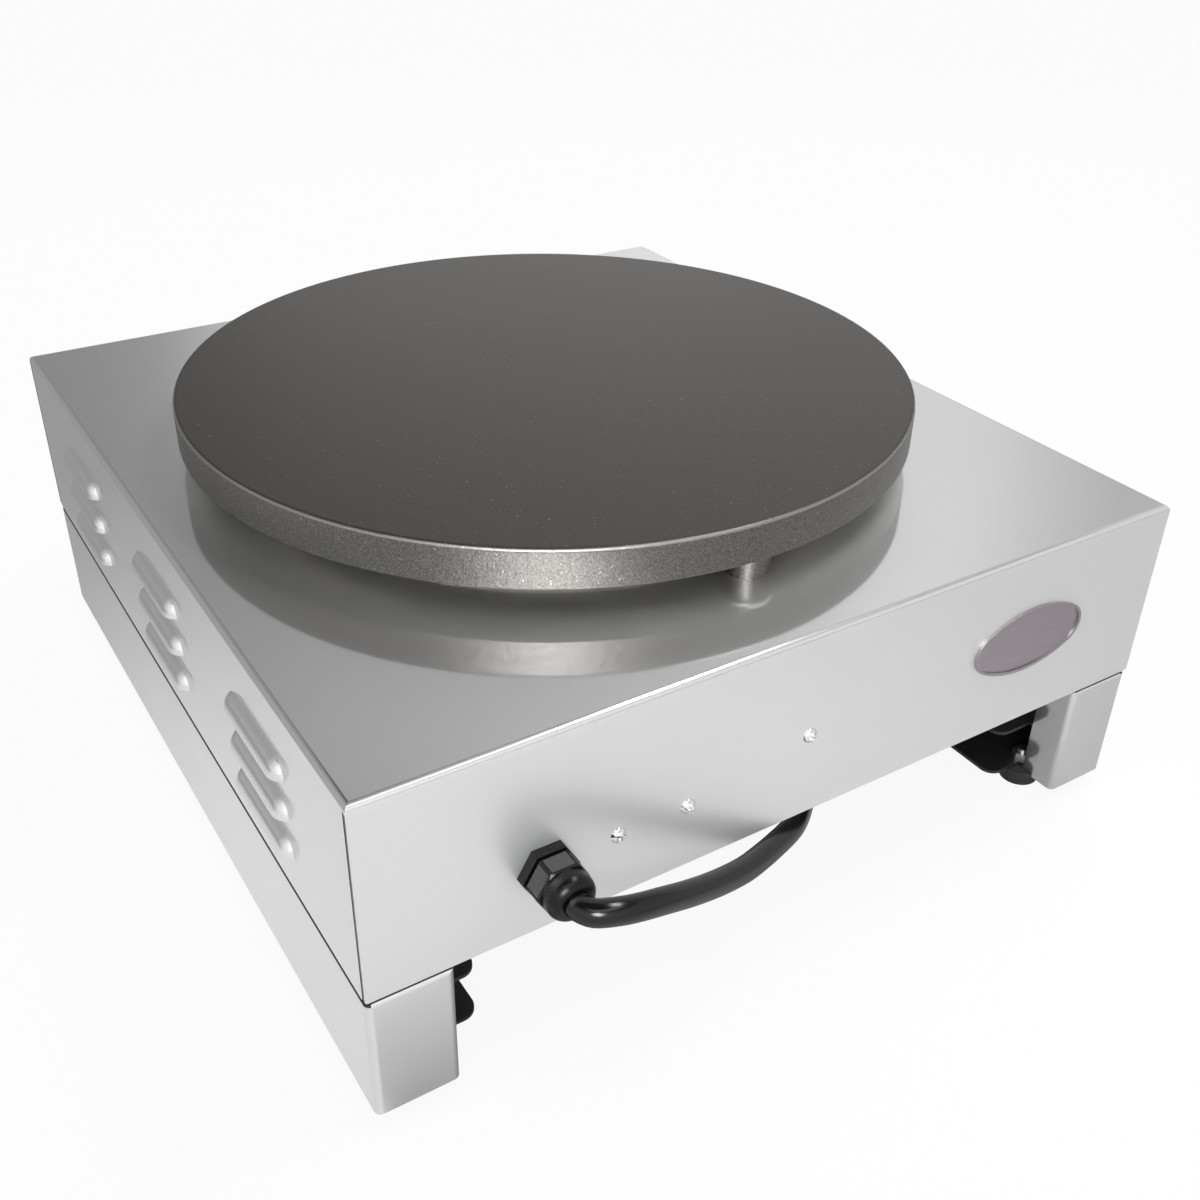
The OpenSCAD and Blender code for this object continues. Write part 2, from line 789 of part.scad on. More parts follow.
module thermostat_body() {
    color("#d8d4c8") on_front(thermostat_x, control_height) difference() {
        union() {
            translate([0, 0, -sheet - thermostat_depth]) linear_extrude(thermostat_depth)
                round_rect(thermostat_w, thermostat_h, 3);
            translate([0, 0, -sheet - over]) cylinder(d = neck_d, h = sheet + over + dial_t + 4);
        }
        translate([0, 0, -sheet - thermostat_depth / 2])
            cylinder(d = shaft_d + 2 * run_fit, h = thermostat_depth + 10);
    }
}

module thermostat_nut() {
    color("#a8a9aa") on_front(thermostat_x, control_height) translate([0, 0, dial_t]) difference() {
        linear_extrude(3) hexagon(14);
        translate([0, 0, -over]) cylinder(d = neck_d, h = 3 + 2 * over);
    }
}

module thermostat_shaft() {
    flat = shaft_d * 0.25;
    color("#c0b070") on_front(thermostat_x, control_height) difference() {
        translate([0, 0, -sheet - thermostat_depth / 2 + side_fit])
            cylinder(d = shaft_d, h = sheet + thermostat_depth / 2 + dial_t + knob_gap + knob_h - 3 - 2 * side_fit);
        translate([-shaft_d, flat, dial_t + knob_gap + 5]) cube([2 * shaft_d, shaft_d, knob_h]);
    }
}

// Half section of the knob's skirt and closed top
module knob_section() {
    wall = 2.5;
    polygon([
        [knob_d / 2 - wall - 1, 0], [knob_d / 2, 0], [knob_d / 2 - 0.8, skirt_h - 1],
        [knob_d / 2 - 2, skirt_h], [grip_r - wall, skirt_h], [grip_r - wall, skirt_h - wall],
        [knob_d / 2 - wall - 1, skirt_h - wall]
    ]);
    translate([0, knob_h - 3]) square([grip_r - 2, 2]);
    translate([0, knob_h - 3]) square([grip_r - 3, 3]);
    intersection() {
        translate([grip_r - 3, knob_h - 1]) circle(1);
        square([grip_r, knob_h]);
    }
}

module thermostat_knob() {
    color("#1e1e1f") on_front(thermostat_x, control_height) translate([0, 0, dial_t + knob_gap]) {
        rotate_extrude($fn = 96) knob_section();
        // Fluted grip
        translate([0, 0, skirt_h - 1]) linear_extrude(knob_h - skirt_h - 1.2) difference() {
            circle(grip_r, $fn = 96);
            circle(grip_r - 3.5, $fn = 96);
            for (i = [0 : flute_count - 1]) rotate((i + 0.5) * 360 / flute_count)
                translate([grip_r + 1.2, 0]) circle(2.4);
        }
        // Hub with its flat-sided bore
        translate([0, 0, skirt_h]) linear_extrude(knob_h - skirt_h - 2) difference() {
            circle(shaft_d / 2 + 3);
            intersection() {
                circle(shaft_d / 2 + run_fit);
                translate([-shaft_d, -shaft_d]) square([2 * shaft_d, shaft_d * 1.25 + run_fit]);
            }
        }
        // Pointer fin
        rotate([90, 0, 90]) linear_extrude(4, center = true) polygon([
            [grip_r - 2, skirt_h - 0.5], [knob_d / 2 - 1.5, skirt_h - 0.5],
            [grip_r + 1.5, knob_h - 2], [grip_r - 2, knob_h - 2]
        ]);
    }
}

module dial_plate() {
    color("#cfd0d0") on_front(thermostat_x, control_height) difference() {
        cylinder(d = dial_d, h = dial_t, $fn = 120);
        translate([0, 0, -over]) cylinder(d = neck_d + 2 * hole_fit, h = dial_t + 2 * over);
    }
}

// Sensing bulb under the plate with its capillary down to a control
module bulb(x, end) {
    z = web_z - bulb_d / 2 - side_fit;
    translate([x, -bulb_len / 2, z]) rotate([-90, 0, 0]) cylinder(d = bulb_d, h = bulb_len);
    bent_tube([
        [x, -bulb_len / 2 + over, z], [x, capillary_y, z], [x, capillary_y, capillary_z],
        [end[0], end[1], capillary_z], end
    ], capillary_d);
}

// How far behind a panel a capillary rises
bulb_inset = 15;

module thermostat_bulb() {
    color("#b87333") bulb(bulb_spread, [thermostat_x, -body_d / 2 + sheet + bulb_inset, control_height + thermostat_h / 2]);
}

limiter_x = body_w / 2 - back_screw_sides[2];
limiter_height = body_z + back_screw_heights[2];
limiter_w = 36;
limiter_h = 34;
limiter_depth = 26;
// Length of a back panel screw behind the sheet
panel_screw_l = 10;

module limiter_bulb() {
    color("#b87333")
        bulb(-bulb_spread, [limiter_x, body_d / 2 - sheet - bulb_inset, limiter_height + limiter_h / 2]);
}

module limiter_body() {
    color("#e2ded2") on_back(limiter_x, limiter_height) difference() {
        translate([0, 0, -sheet - limiter_depth]) linear_extrude(limiter_depth) round_rect(limiter_w, limiter_h, 3);
        translate([0, 0, -sheet - panel_screw_l]) cylinder(d = screw_d, h = panel_screw_l + over);
    }
}

module switch_housing() {
    color("#202021") on_front(switch_x, control_height) difference() {
        union() {
            translate([0, 0, -switch_depth]) linear_extrude(switch_depth + over)
                square([switch_w, switch_h], center = true);
            linear_extrude(bezel_t)
                round_rect(switch_w + 2 * bezel_lip, switch_h + 2 * bezel_lip, 2);
        }
        translate([0, 0, -rocker_r - side_fit]) linear_extrude(rocker_r + side_fit + bezel_t + over)
            square([rocker_w + 2 * side_fit, 2 * (rocker_r + side_fit)], center = true);
        rotate([0, 90, 0]) cylinder(d = pivot_d + 2 * run_fit, h = rocker_w + 2 * pivot_len, center = true);
    }
    color("#c0b070") on_front(switch_x, control_height) for (y = [-7, 7])
        translate([-3.15, y - 0.4, -switch_depth - 9]) cube([6.3, 0.8, 9]);
}

pivot_d = 3.2;
pivot_len = 2;
rocker_face = 4;

module switch_rocker() {
    rise = tan(rocker_tilt);
    color("#8c1a14") on_front(switch_x, control_height) rotate([rocker_tilt, 0, 0]) {
        rotate([90, 0, 90]) linear_extrude(rocker_w, center = true) intersection() {
            circle(rocker_r, $fn = 96);
            polygon([
                [-rocker_r, -7], [rocker_r, -7], [rocker_r, rocker_face + rocker_r * rise],
                [0, rocker_face], [-rocker_r, rocker_face + rocker_r * rise]
            ]);
        }
        rotate([0, 90, 0]) cylinder(d = pivot_d, h = rocker_w + 2 * pivot_len - 2 * side_fit, center = true);
    }
}

module lamp_bodies() {
    color("#303031") for (s = [-1, 1]) on_front(s * lamp_pitch / 2, control_height) difference() {
        union() {
            translate([0, 0, -22]) cylinder(d = lamp_d, h = 22 + over);
            cylinder(d = lamp_bezel_d, h = 1.6);
            translate([0, 0, -sheet - 4]) linear_extrude(4) hexagon(lamp_bezel_d);
        }
        translate([0, 0, -3]) cylinder(d = lamp_d - 2, h = 8);
    }
}

module lamp_lens(x) {
    on_front(x, control_height) {
        translate([0, 0, -3]) cylinder(d = lamp_d - 2, h = 4.6);
        intersection() {
            translate([0, 0, 1.6 - 3]) sphere(5.5);
            translate([0, 0, 1.6]) cylinder(d = lamp_d - 1, h = 6);
        }
    }
}

module power_lamp_lens() {
    color("#3fae4a") lamp_lens(-lamp_pitch / 2);
}

module heating_lamp_lens() {
    color("#d8762a") lamp_lens(lamp_pitch / 2);
}

// ---- Back panel and mains entry ----

block_x = body_w / 2 - (back_screw_sides[0] + back_screw_sides[1]) / 2;
block_w = back_screw_sides[1] - back_screw_sides[0] + 16;
block_h = 22;
block_depth = 20;

module terminal_block() {
    color("#ece8df") difference() {
        on_back(block_x, body_z + back_screw_heights[0]) {
            translate([0, 0, -sheet - block_depth]) linear_extrude(block_depth)
                round_rect(block_w, block_h, 2);
            for (x = [-10, 0, 10]) translate([x, 0, -sheet - block_depth - 3]) cylinder(d = 6.5, h = 4);
        }
        at_back_screws() translate([0, 0, -sheet - panel_screw_l - 2]) cylinder(d = screw_d, h = panel_screw_l + 2 + over);
    }
}

module back_panel_screws() {
    color("#d5d6d7") at_back_screws() rotate([180, 0, 0]) pan_screw(sheet + panel_screw_l);
}

earth_x = 120;
earth_y = 150;
earth_d = 5;

module earth_stud() {
    color("#c9a84a") translate([earth_x, earth_y, 0]) {
        translate([0, 0, base_z]) cylinder(d = earth_d, h = 24);
        translate([0, 0, body_z]) linear_extrude(4) hexagon(8);
        translate([0, 0, body_z + 6]) linear_extrude(4) hexagon(8);
    }
}

module gland_body() {
    color("#1c1c1d") on_back(gland_x, gland_height) difference() {
        union() {
            linear_extrude(gland_flange_t) hexagon(gland_af);
            translate([0, 0, -sheet - 10]) cylinder(d = gland_thread_d, h = sheet + 10 + over);
            translate([0, 0, gland_flange_t - over]) cylinder(d = gland_thread_d - 1, h = gland_cap_l / 2 + over);
        }
        translate([0, 0, -sheet - 10 - over])
            cylinder(r = gland_bore_r, h = sheet + 10 + gland_flange_t + gland_cap_l + 2 * over);
    }
}

module gland_locknut() {
    color("#1c1c1d") on_back(gland_x, gland_height) translate([0, 0, -sheet - 5]) difference() {
        linear_extrude(5) hexagon(gland_af + 3);
        translate([0, 0, -over]) cylinder(d = gland_thread_d, h = 5 + 2 * over);
    }
}

module gland_seal() {
    color("#333334") on_back(gland_x, gland_height)
        translate([0, 0, gland_flange_t + gland_cap_l / 2 + side_fit]) difference() {
            cylinder(d = gland_thread_d - 2, h = gland_cap_l / 2 - 3 - 2 * side_fit);
            translate([0, 0, -over]) cylinder(r = gland_bore_r, h = gland_cap_l / 2 + over);
        }
}

// Hexagon nut with a domed end
module gland_cap() {
    hex_l = gland_cap_l * 0.55;
    dome_r = gland_cap_af / 2;
    dome_l = gland_cap_l - hex_l + 0.5;
    dome_round = 6;
    color("#1c1c1d") on_back(gland_x, gland_height) translate([0, 0, gland_flange_t]) difference() {
        union() {
            translate([0, 0, 1]) intersection() {
                linear_extrude(hex_l - 1) hexagon(gland_cap_af);
                cylinder(r1 = dome_r + hex_l - 1.4, r2 = dome_r + 0.8, h = hex_l - 1);
            }
            translate([0, 0, hex_l - 0.5]) rotate_extrude($fn = 72) intersection() {
                square([dome_r, dome_l]);
                union() {
                    square([dome_r, dome_l - dome_round + 0.5]);
                    square([dome_r - dome_round, dome_l]);
                    translate([dome_r - dome_round, dome_l - dome_round + 0.5]) circle(dome_round, $fn = 72);
                }
            }
        }
        translate([0, 0, -over])
            cylinder(d = gland_thread_d - 1 + 2 * run_fit, h = gland_cap_l - 3 + over);
        cylinder(r = gland_bore_r, h = gland_cap_l + over);
    }
}

// The lead's straight stretch inside the gland and the housing
module inner_lead() {
    color("#232324") on_back(gland_x, gland_height)
        translate([0, 0, -sheet - 24]) cylinder(d = cord_d, h = sheet + 24 + gland_end);
}

// ---- Lead and plug ----

function unit(v) = v / norm(v);

// Direction of a route at point i
function heading(p, i) = unit(p[min(i + 1, len(p) - 1)] - p[max(i - 1, 0)]);

// Ring of n points round a route's point i
function ring_points(p, i, r, n) =
    let (t = heading(p, i), side = unit(cross([0, 0, 1], t)), up = cross(t, side))
    [for (k = [0 : n - 1]) p[i] + r * (cos(k * 360 / n) * side + sin(k * 360 / n) * up)];

module swept_cord(p, d, n = 10) {
    rings = [for (i = [0 : len(p) - 1]) each ring_points(p, i, d / 2, n)];
    last = (len(p) - 1) * n;
    polyhedron(
        points = rings,
        faces = concat(
            [[for (k = [0 : n - 1]) k]],
            [for (i = [0 : len(p) - 2], k = [0 : n - 1])
                [i * n + k, (i + 1) * n + k, (i + 1) * n + (k + 1) % n, i * n + (k + 1) % n]],
            [[for (k = [n - 1 : -1 : 0]) last + k]]
        ),
        convexity = 4
    );
}

module power_cord() {
    color("#232324") swept_cord(cord_route, cord_d);
}

module cord_coil() {
    ring_w = coil_turns_across * cord_d;
    color("#232324") translate([coil_centre[0], coil_centre[1], 0]) rotate_extrude($fn = 96)
        translate([coil_ring_r - ring_w / 2, 0]) square([ring_w, coil_layers * cord_d]);
}

module cord_tail() {
    color("#232324") swept_cord(tail_route, cord_d);
}

plug_start = tail_route[len(tail_route) - 1];
plug_handle_l = 34;
plug_face_l = 16;

module mains_plug() {
    color("#1c1c1d") translate(plug_start) rotate([0, 90, 0]) difference() {
        rotate_extrude($fn = 72) {
            polygon([
                [0, 0], [cord_d / 2 + 2, 0], [plug_d / 2 - 6, plug_handle_l], [0, plug_handle_l]
            ]);
            translate([0, plug_handle_l]) square([plug_d / 2 - 1.5, plug_face_l]);
            translate([0, plug_handle_l + 1.5]) square([plug_d / 2, plug_face_l - 3]);
        }
        for (s = [-1, 1]) translate([0, s * 9.5, plug_handle_l + 2]) cylinder(d = 4.8, h = plug_face_l);
    }
}

module plug_pins() {
    color("#d0c48a") translate(plug_start) rotate([0, 90, 0]) for (s = [-1, 1])
        translate([0, s * 9.5, plug_handle_l + 2]) {
            cylinder(d = 4.8, h = plug_face_l - 2 + 17);
            translate([0, 0, plug_face_l - 2 + 17]) sphere(d = 4.8);
        }
}

module badge_plate() {
    rim = 1.8;
    color("#a9a0a6") on_back(body_w / 2 - badge_side, body_z + badge_z) difference() {
        linear_extrude(1.8) oval(badge_l / 2, badge_h / 2);
        translate([0, 0, 1]) linear_extrude(1) oval(badge_l / 2 - rim, badge_h / 2 - rim);
    }
}

housing();
base_plate();
side_leg_left();
side_leg_right();
foot_rail_left();
foot_rail_right();
foot_front_left();
foot_front_right();
foot_rear_left();
foot_rear_right();
foot_bolts();
base_screws();
griddle_plate();
outer_element();
inner_element();
clamp_plate();
clamp_studs();
clamp_nuts();
insulation_pad();
heat_shield();
plate_bolts();
thermostat_body();
thermostat_nut();
thermostat_shaft();
thermostat_knob();
thermostat_bulb();
limiter_body();
limiter_bulb();
dial_plate();
switch_housing();
switch_rocker();
lamp_bodies();
power_lamp_lens();
heating_lamp_lens();
terminal_block();
back_panel_screws();
earth_stud();
gland_body();
gland_locknut();
gland_seal();
gland_cap();
inner_lead();
power_cord();
cord_coil();
cord_tail();
mains_plug();
plug_pins();
badge_plate();
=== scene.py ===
# %% [markdown]
# # An electric crepe griddle
# A folded stainless housing carries a thick cast-iron plate. The solids come from the CAD
# frame, which already has every size right. This lesson gives them their surfaces, and adds
# the pieces that need more shape than the solids hold: the lead, its plug, the studs
# on the gland's nut, and the printed marks of the dial, the knob and the rocker.

import math

import bmesh
import bpy
from mathutils import Euler, Matrix, Vector


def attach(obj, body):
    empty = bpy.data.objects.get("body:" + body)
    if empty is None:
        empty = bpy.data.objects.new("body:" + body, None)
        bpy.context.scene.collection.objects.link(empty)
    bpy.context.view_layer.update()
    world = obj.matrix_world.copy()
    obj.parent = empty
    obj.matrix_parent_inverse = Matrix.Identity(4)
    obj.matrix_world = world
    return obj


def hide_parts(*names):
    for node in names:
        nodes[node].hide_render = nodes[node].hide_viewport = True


MM = 0.001
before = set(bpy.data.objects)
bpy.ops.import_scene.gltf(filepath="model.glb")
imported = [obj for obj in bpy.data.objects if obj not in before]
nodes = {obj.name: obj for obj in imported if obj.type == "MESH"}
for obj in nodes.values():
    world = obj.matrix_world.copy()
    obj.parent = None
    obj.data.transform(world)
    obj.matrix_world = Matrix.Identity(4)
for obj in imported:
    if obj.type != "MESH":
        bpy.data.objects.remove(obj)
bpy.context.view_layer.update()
print("nodes in the frame:", len(nodes))

# %% [markdown]
# ## Camera
# The camera stands off the corner nearest to the gland, a little above the appliance, where it
# sees the gland and the whole plate at once. Its place and turn were worked out from the edges
# of the housing, so it needs no shift.

# %% Camera
CAMERA_PLACE = Vector((0.3515, 0.6025, 0.5043))
CAMERA_TURN = Euler((math.radians(57.70), math.radians(-1.087), math.radians(147.822)))
CAMERA_LENS, CAMERA_SENSOR = 40.38, 36
camera_data = bpy.data.cameras.new("camera")
camera_data.lens = CAMERA_LENS
camera_data.sensor_width = CAMERA_SENSOR
camera = bpy.data.objects.new("camera", camera_data)
camera.location = CAMERA_PLACE
camera.rotation_euler = CAMERA_TURN
bpy.context.collection.objects.link(camera)
bpy.context.scene.camera = camera
bpy.context.scene.view_settings.view_transform = "Standard"

# %% [markdown]
# ## Arithmetic on shader sockets
# A material's recipe reads best as sums. `Value` wraps a socket and turns `+`, `*` and the
# rest into Math nodes. `Recipe` makes any other node in one call, and `Finish` is the recipe
# of one material.


# %% Value, Recipe and Finish
class Value:
    """A number socket that can be used in sums."""

    def __init__(self, tree, socket):
        self.tree = tree
        self.socket = socket

    def math(self, operation, first, second=None):
        node = self.tree.nodes.new("ShaderNodeMath")
        node.operation = operation
        for slot, item in enumerate((first, second)):
            if isinstance(item, Value):
                self.tree.links.new(item.socket, node.inputs[slot])
            elif item is not None:
                node.inputs[slot].default_value = item
        return Value(self.tree, node.outputs[0])

    def __add__(self, other):
        return self.math("ADD", self, other)

    def __radd__(self, other):
        return self.math("ADD", other, self)

    def __sub__(self, other):
        return self.math("SUBTRACT", self, other)

    def __rsub__(self, other):
        return self.math("SUBTRACT", other, self)

    def __mul__(self, other):
        return self.math("MULTIPLY", self, other)

    def __rmul__(self, other):
        return self.math("MULTIPLY", other, self)

    def __truediv__(self, other):
        return self.math("DIVIDE", self, other)

    def clamped(self):
        node = self.tree.nodes.new("ShaderNodeClamp")
        self.tree.links.new(self.socket, node.inputs["Value"])
        return Value(self.tree, node.outputs[0])


class Recipe:
    """A node tree and short ways to add to it."""

    family = "ShaderNode"

    def __init__(self, tree):
        self.tree = tree

    def node(self, kind, settings=None, sockets=None):
        """A node of any type: settings first, then the values or links of its sockets."""
        node = self.tree.nodes.new(self.family + kind)
        for key, item in (settings or {}).items():
            if key == "stops":
                ramp = node.color_ramp
                while len(ramp.elements) < len(item):
                    ramp.elements.new(0.5)
                for element, (place, color) in zip(ramp.elements, item):
                    element.position = place
                    element.color = color if len(color) == 4 else (*color, 1)
            else:
                setattr(node, key, item)
        for key, item in (sockets or {}).items():
            if isinstance(item, Value):
                self.tree.links.new(item.socket, node.inputs[key])
            elif isinstance(item, bpy.types.NodeSocket):
                self.tree.links.new(item, node.inputs[key])
            else:
                node.inputs[key].default_value = item
        return node

    def value(self, node, output=0):
        return Value(self.tree, node.outputs[output])

    def noise(self, size, detail=4, stretch=(1, 1, 1), roughness=0.5):
        """Noise with features about size metres across, from 0 to 1."""
        place = self.node("TexCoord").outputs["Object"]
        scale = tuple(1 / (size * s) for s in stretch)
        scaled = self.node("Mapping", None, {"Vector": place, "Scale": scale}).outputs["Vector"]
        node = self.node(
            "TexNoise",
            None,
            {"Vector": scaled, "Scale": 1.0, "Detail": detail, "Roughness": roughness},
        )
        return self.value(node)

    def ramp(self, value, *stops):
        """A colour for each number, from stops of (place, colour)."""
        return self.node("ValToRGB", {"stops": stops}, {"Fac": value}).outputs["Color"]

    def step(self, value, low, high):
        """0 below low, 1 above high, smooth between."""
        node = self.node(
            "MapRange",
            {"interpolation_type": "SMOOTHSTEP"},
            {"Value": value, "From Min": low, "From Max": high},
        )
        return self.value(node)

    def band(self, value, low, high, soft):
        """1 between low and high, falling to 0 over soft on either side."""
        return self.step(value, low - soft, low) * (1 - self.step(value, high, high + soft))

    def mix(self, factor, first, second):
        """The first colour where factor is 0, the second where it is 1."""
        node = self.node("Mix", {"data_type": "RGBA"}, {"Factor": factor})
        for key, item in (("A", first), ("B", second)):
            socket = [s for s in node.inputs if s.name == key and s.type == "RGBA"][0]
            if isinstance(item, bpy.types.NodeSocket):
                self.tree.links.new(item, socket)
            else:
                socket.default_value = (*item, 1) if len(item) == 3 else item
        return [s for s in node.outputs if s.type == "RGBA"][0]

    def parts(self, vector):
        """X, Y and Z of a vector."""
        split = self.node("SeparateXYZ", None, {"Vector": vector})
        return [self.value(split, k) for k in range(3)]

    def point(self):
        """X, Y and Z of the shaded point, in metres."""
        return self.parts(self.node("TexCoord").outputs["Object"])

    def facing(self):
        """X, Y and Z of the true normal."""
        return self.parts(self.node("NewGeometry").outputs["True Normal"])

    def surface(self, share, first, second):
        """Shows the first shader and share of the second."""
        mixed = self.node("MixShader", None, {0: share, 1: first.outputs[0], 2: second.outputs[0]})
        output = self.tree.nodes["Material Output"]
        self.tree.links.new(mixed.outputs[0], output.inputs["Surface"])


class Finish(Recipe):
    """One material, its Principled shader and the nodes that feed it."""

    def __init__(self, name, roughness=0.5, metallic=0.0, **shader):
        self.material = bpy.data.materials.new(name)
        self.material.use_nodes = True
        super().__init__(self.material.node_tree)
        self.shader = self.tree.nodes["Principled BSDF"]
        self.set(Roughness=roughness, Metallic=metallic, **shader)

    def set(self, **links):
        """Links or sets sockets of the shader, such as Base_Color."""
        for key, item in links.items():
            socket = self.shader.inputs[key.replace("_", " ")]
            if isinstance(item, Value):
                self.tree.links.new(item.socket, socket)
            elif isinstance(item, bpy.types.NodeSocket):
                self.tree.links.new(item, socket)
            else:
                is_color = isinstance(item, tuple) and len(item) == 3
                socket.default_value = (*item, 1) if is_color else item

    def bump(self, height, distance):
        """Raises the surface by height times distance, in metres."""
        node = self.node("Bump", None, {"Height": height, "Distance": distance, "Strength": 1.0})
        self.tree.links.new(node.outputs["Normal"], self.shader.inputs["Normal"])

    def veil(self, share, roughness):
        """Mixes in a rougher lobe of the same metal, which softens what the polish mirrors."""
        second = self.node("BsdfPrincipled", None, {"Roughness": roughness})
        for key in ("Base Color", "Metallic", "Normal"):
            socket = self.shader.inputs[key]
            if socket.is_linked:
                self.tree.links.new(socket.links[0].from_socket, second.inputs[key])
            elif key != "Normal":
                second.inputs[key].default_value = socket.default_value
        self.surface(share, self.shader, second)

    def shades(self, factor, color, down, up):
        """The colour times down where factor is 0, and times up where it is 1."""
        light = tuple(min(c * up, 1) for c in color)
        return self.mix(factor, tuple(c * down for c in color), light)


def wear(name, *node_names):
    """Gives CAD nodes a material."""
    for node_name in node_names:
        slots = nodes[node_name].data.materials
        slots.clear()
        slots.append(FINISHES[name])


FINISHES = {}

# %% [markdown]
# ## Small mesh helpers
# Every finished piece is a plain mesh with its place in its vertices and its object at the
# origin, as the frame's own nodes are, so patterns on Object coordinates line up across pieces.


# %% Mesh helpers
SHARP_ANGLE = math.radians(35)


def add_object(name, data):
    piece = bpy.data.objects.new(name, data)
    bpy.context.collection.objects.link(piece)
    return piece


def mesh_piece(name, build, finish, smooth=True, place=None):
    """Runs build(bm) and returns the mesh as an object, moved by the matrix place."""
    bm = bmesh.new()
    build(bm)
    bmesh.ops.remove_doubles(bm, verts=bm.verts, dist=1e-7)
    bmesh.ops.recalc_face_normals(bm, faces=bm.faces)
    if place is not None:
        bm.transform(place)
    mesh = bpy.data.meshes.new(name)
    bm.to_mesh(mesh)
    bm.free()
    mesh.materials.append(FINISHES[finish])
    if smooth:
        for polygon in mesh.polygons:
            polygon.use_smooth = True
        mesh.set_sharp_from_angle(angle=SHARP_ANGLE)
    return add_object(name, mesh)


def revolve(bm, profile, steps):
    """Turns a profile of (radius, height) about Z."""
    rings = []
    for k in range(steps):
        angle = 2 * math.pi * k / steps
        across, along = math.cos(angle), math.sin(angle)
        rings.append([bm.verts.new((r * across, r * along, z)) for r, z in profile])
    for k in range(steps):
        a, b = rings[k], rings[(k + 1) % steps]
        for i in range(len(profile) - 1):
            bm.faces.new((a[i], b[i], b[i + 1], a[i + 1]))


def front_place(x, height, y):
    """Matrix that stands a piece drawn on XY against the front, with its +Z towards -Y."""
    return Matrix.Translation((x, y, height)) @ Matrix.Rotation(math.radians(90), 4, "X")


def back_place(x, height, y):
    """The same for the back, with +Z towards +Y."""
    turn = Matrix.Rotation(math.radians(180), 4, "Z") @ Matrix.Rotation(math.radians(90), 4, "X")
    return Matrix.Translation((x, y, height)) @ turn


# %% [markdown]
# ## The mains lead
# A rubber lead is a fixed length of something stiff. It leaves the gland level, turns aside
# and sinks under the body, where the rest is wound into a flat coil of three turns with the
# plug beside it. The route is in millimetres, as the CAD solids have it. Everything is one
# curve: the points, then the turns worked out by a loop, then the tail.

# %% Lead: route and coil
LEAD_WIDTH = 12
LEAD_D = LEAD_WIDTH * MM
LEAD_ROUTE = [
    (144.3, 270, 111.8), (144.3, 272.5, 111.8), (141, 277.5, 111.8), (134, 280.5, 111.3),
    (124, 281.5, 109), (110, 280, 104.4), (92, 276, 96.5), (72, 270, 87.5), (52, 263, 79.5),
    (37, 256.5, 74.5), (22, 249.5, 70), (4, 240, 64.5), (-16, 224, 56), (-36, 203, 43),
    (-54, 175, 26), (-70, 143, 13), (-78, 115, 6),
]  # fmt: skip
COIL_CENTRE = Vector((-6, 85, 0))
COIL_OUTER, COIL_INNER = 72, 60
COIL_START, COIL_END, COIL_STEP = 180, 270 + 3 * 360, 10
# Where along the coil, in degrees, it moves in, climbs onto both turns and clears them.
INWARD, CLIMB, LIFT = (480, 540), (770, 840), (820, 860)
CLIMB_ANGLE, LIFT_HEIGHT = math.radians(60), 1.6
TAIL_ROUTE = [(36, 19, 18), (50, 19, 18.5), (64, 19, 18.5)]


def smooth_between(angle, start, stop):
    t = min(max((angle - start) / (stop - start), 0), 1)
    return t * t * (3 - 2 * t)


def coil_point(angle):
    """A point of the coil: outer turn, inner turn, then one turn on top of both."""
    climb = CLIMB_ANGLE * smooth_between(angle, *CLIMB)
    lift = LIFT_HEIGHT * smooth_between(angle, *LIFT)
    r = COIL_OUTER - (COIL_OUTER - COIL_INNER) * smooth_between(angle, *INWARD)
    z = LEAD_WIDTH / 2
    if angle > CLIMB[0]:
        r = COIL_OUTER - LEAD_WIDTH * math.cos(climb)
        z += LEAD_WIDTH * math.sin(climb) + lift
    turn = math.radians(angle)
    return COIL_CENTRE + Vector((r * math.cos(turn), r * math.sin(turn), z))


def smooth_run(points, steps):
    """Catmull-Rom through the points."""
    padded = [points[0] * 2 - points[1]] + points + [points[-1] * 2 - points[-2]]
    run = []
    for i in range(1, len(padded) - 2):
        a, b, c, d = padded[i - 1 : i + 3]
        for k in range(steps):
            t = k / steps
            run.append(
                0.5 * ((2 * b) + (c - a) * t + (2 * a - 5 * b + 4 * c - d) * t * t
                       + (3 * b - a - 3 * c + d) * t * t * t)
            )
    return run + [padded[-2]]


turns = [coil_point(angle) for angle in range(COIL_START, COIL_END + 1, COIL_STEP)]
knots = [Vector(p) for p in LEAD_ROUTE] + turns + [Vector(p) for p in TAIL_ROUTE]
lead_points = [p * MM for p in smooth_run(knots, 3)]
for p in lead_points:
    p.z = max(p.z, LEAD_D / 2)
lead_length = sum((b - a).length for a, b in zip(lead_points, lead_points[1:]))
print("lead length %.3f m" % lead_length)

# %% [markdown]
# ## Black rubber
# The sheath of a heavy rubber lead is near black with a satin skin. It is never quite clean:
# faint smears change its gloss, and the extruded skin is a little uneven.


# %% Rubber and plastics
def rubber(name, color, low, high, grain, depth, sheen=0.5):
    """Roughness runs from low to high over the smears; the skin's grain is raised by depth."""
    finish = Finish(name, Specular_IOR_Level=sheen)
    smear = finish.noise(0.03, 3)
    fine = finish.noise(grain, 3)
    finish.set(
        Base_Color=finish.shades(smear, color, 0.8, 1.35),
        Roughness=low + (high - low) * smear + 0.06 * fine,
    )
    finish.bump(fine + 0.6 * smear, depth)
    FINISHES[name] = finish.material


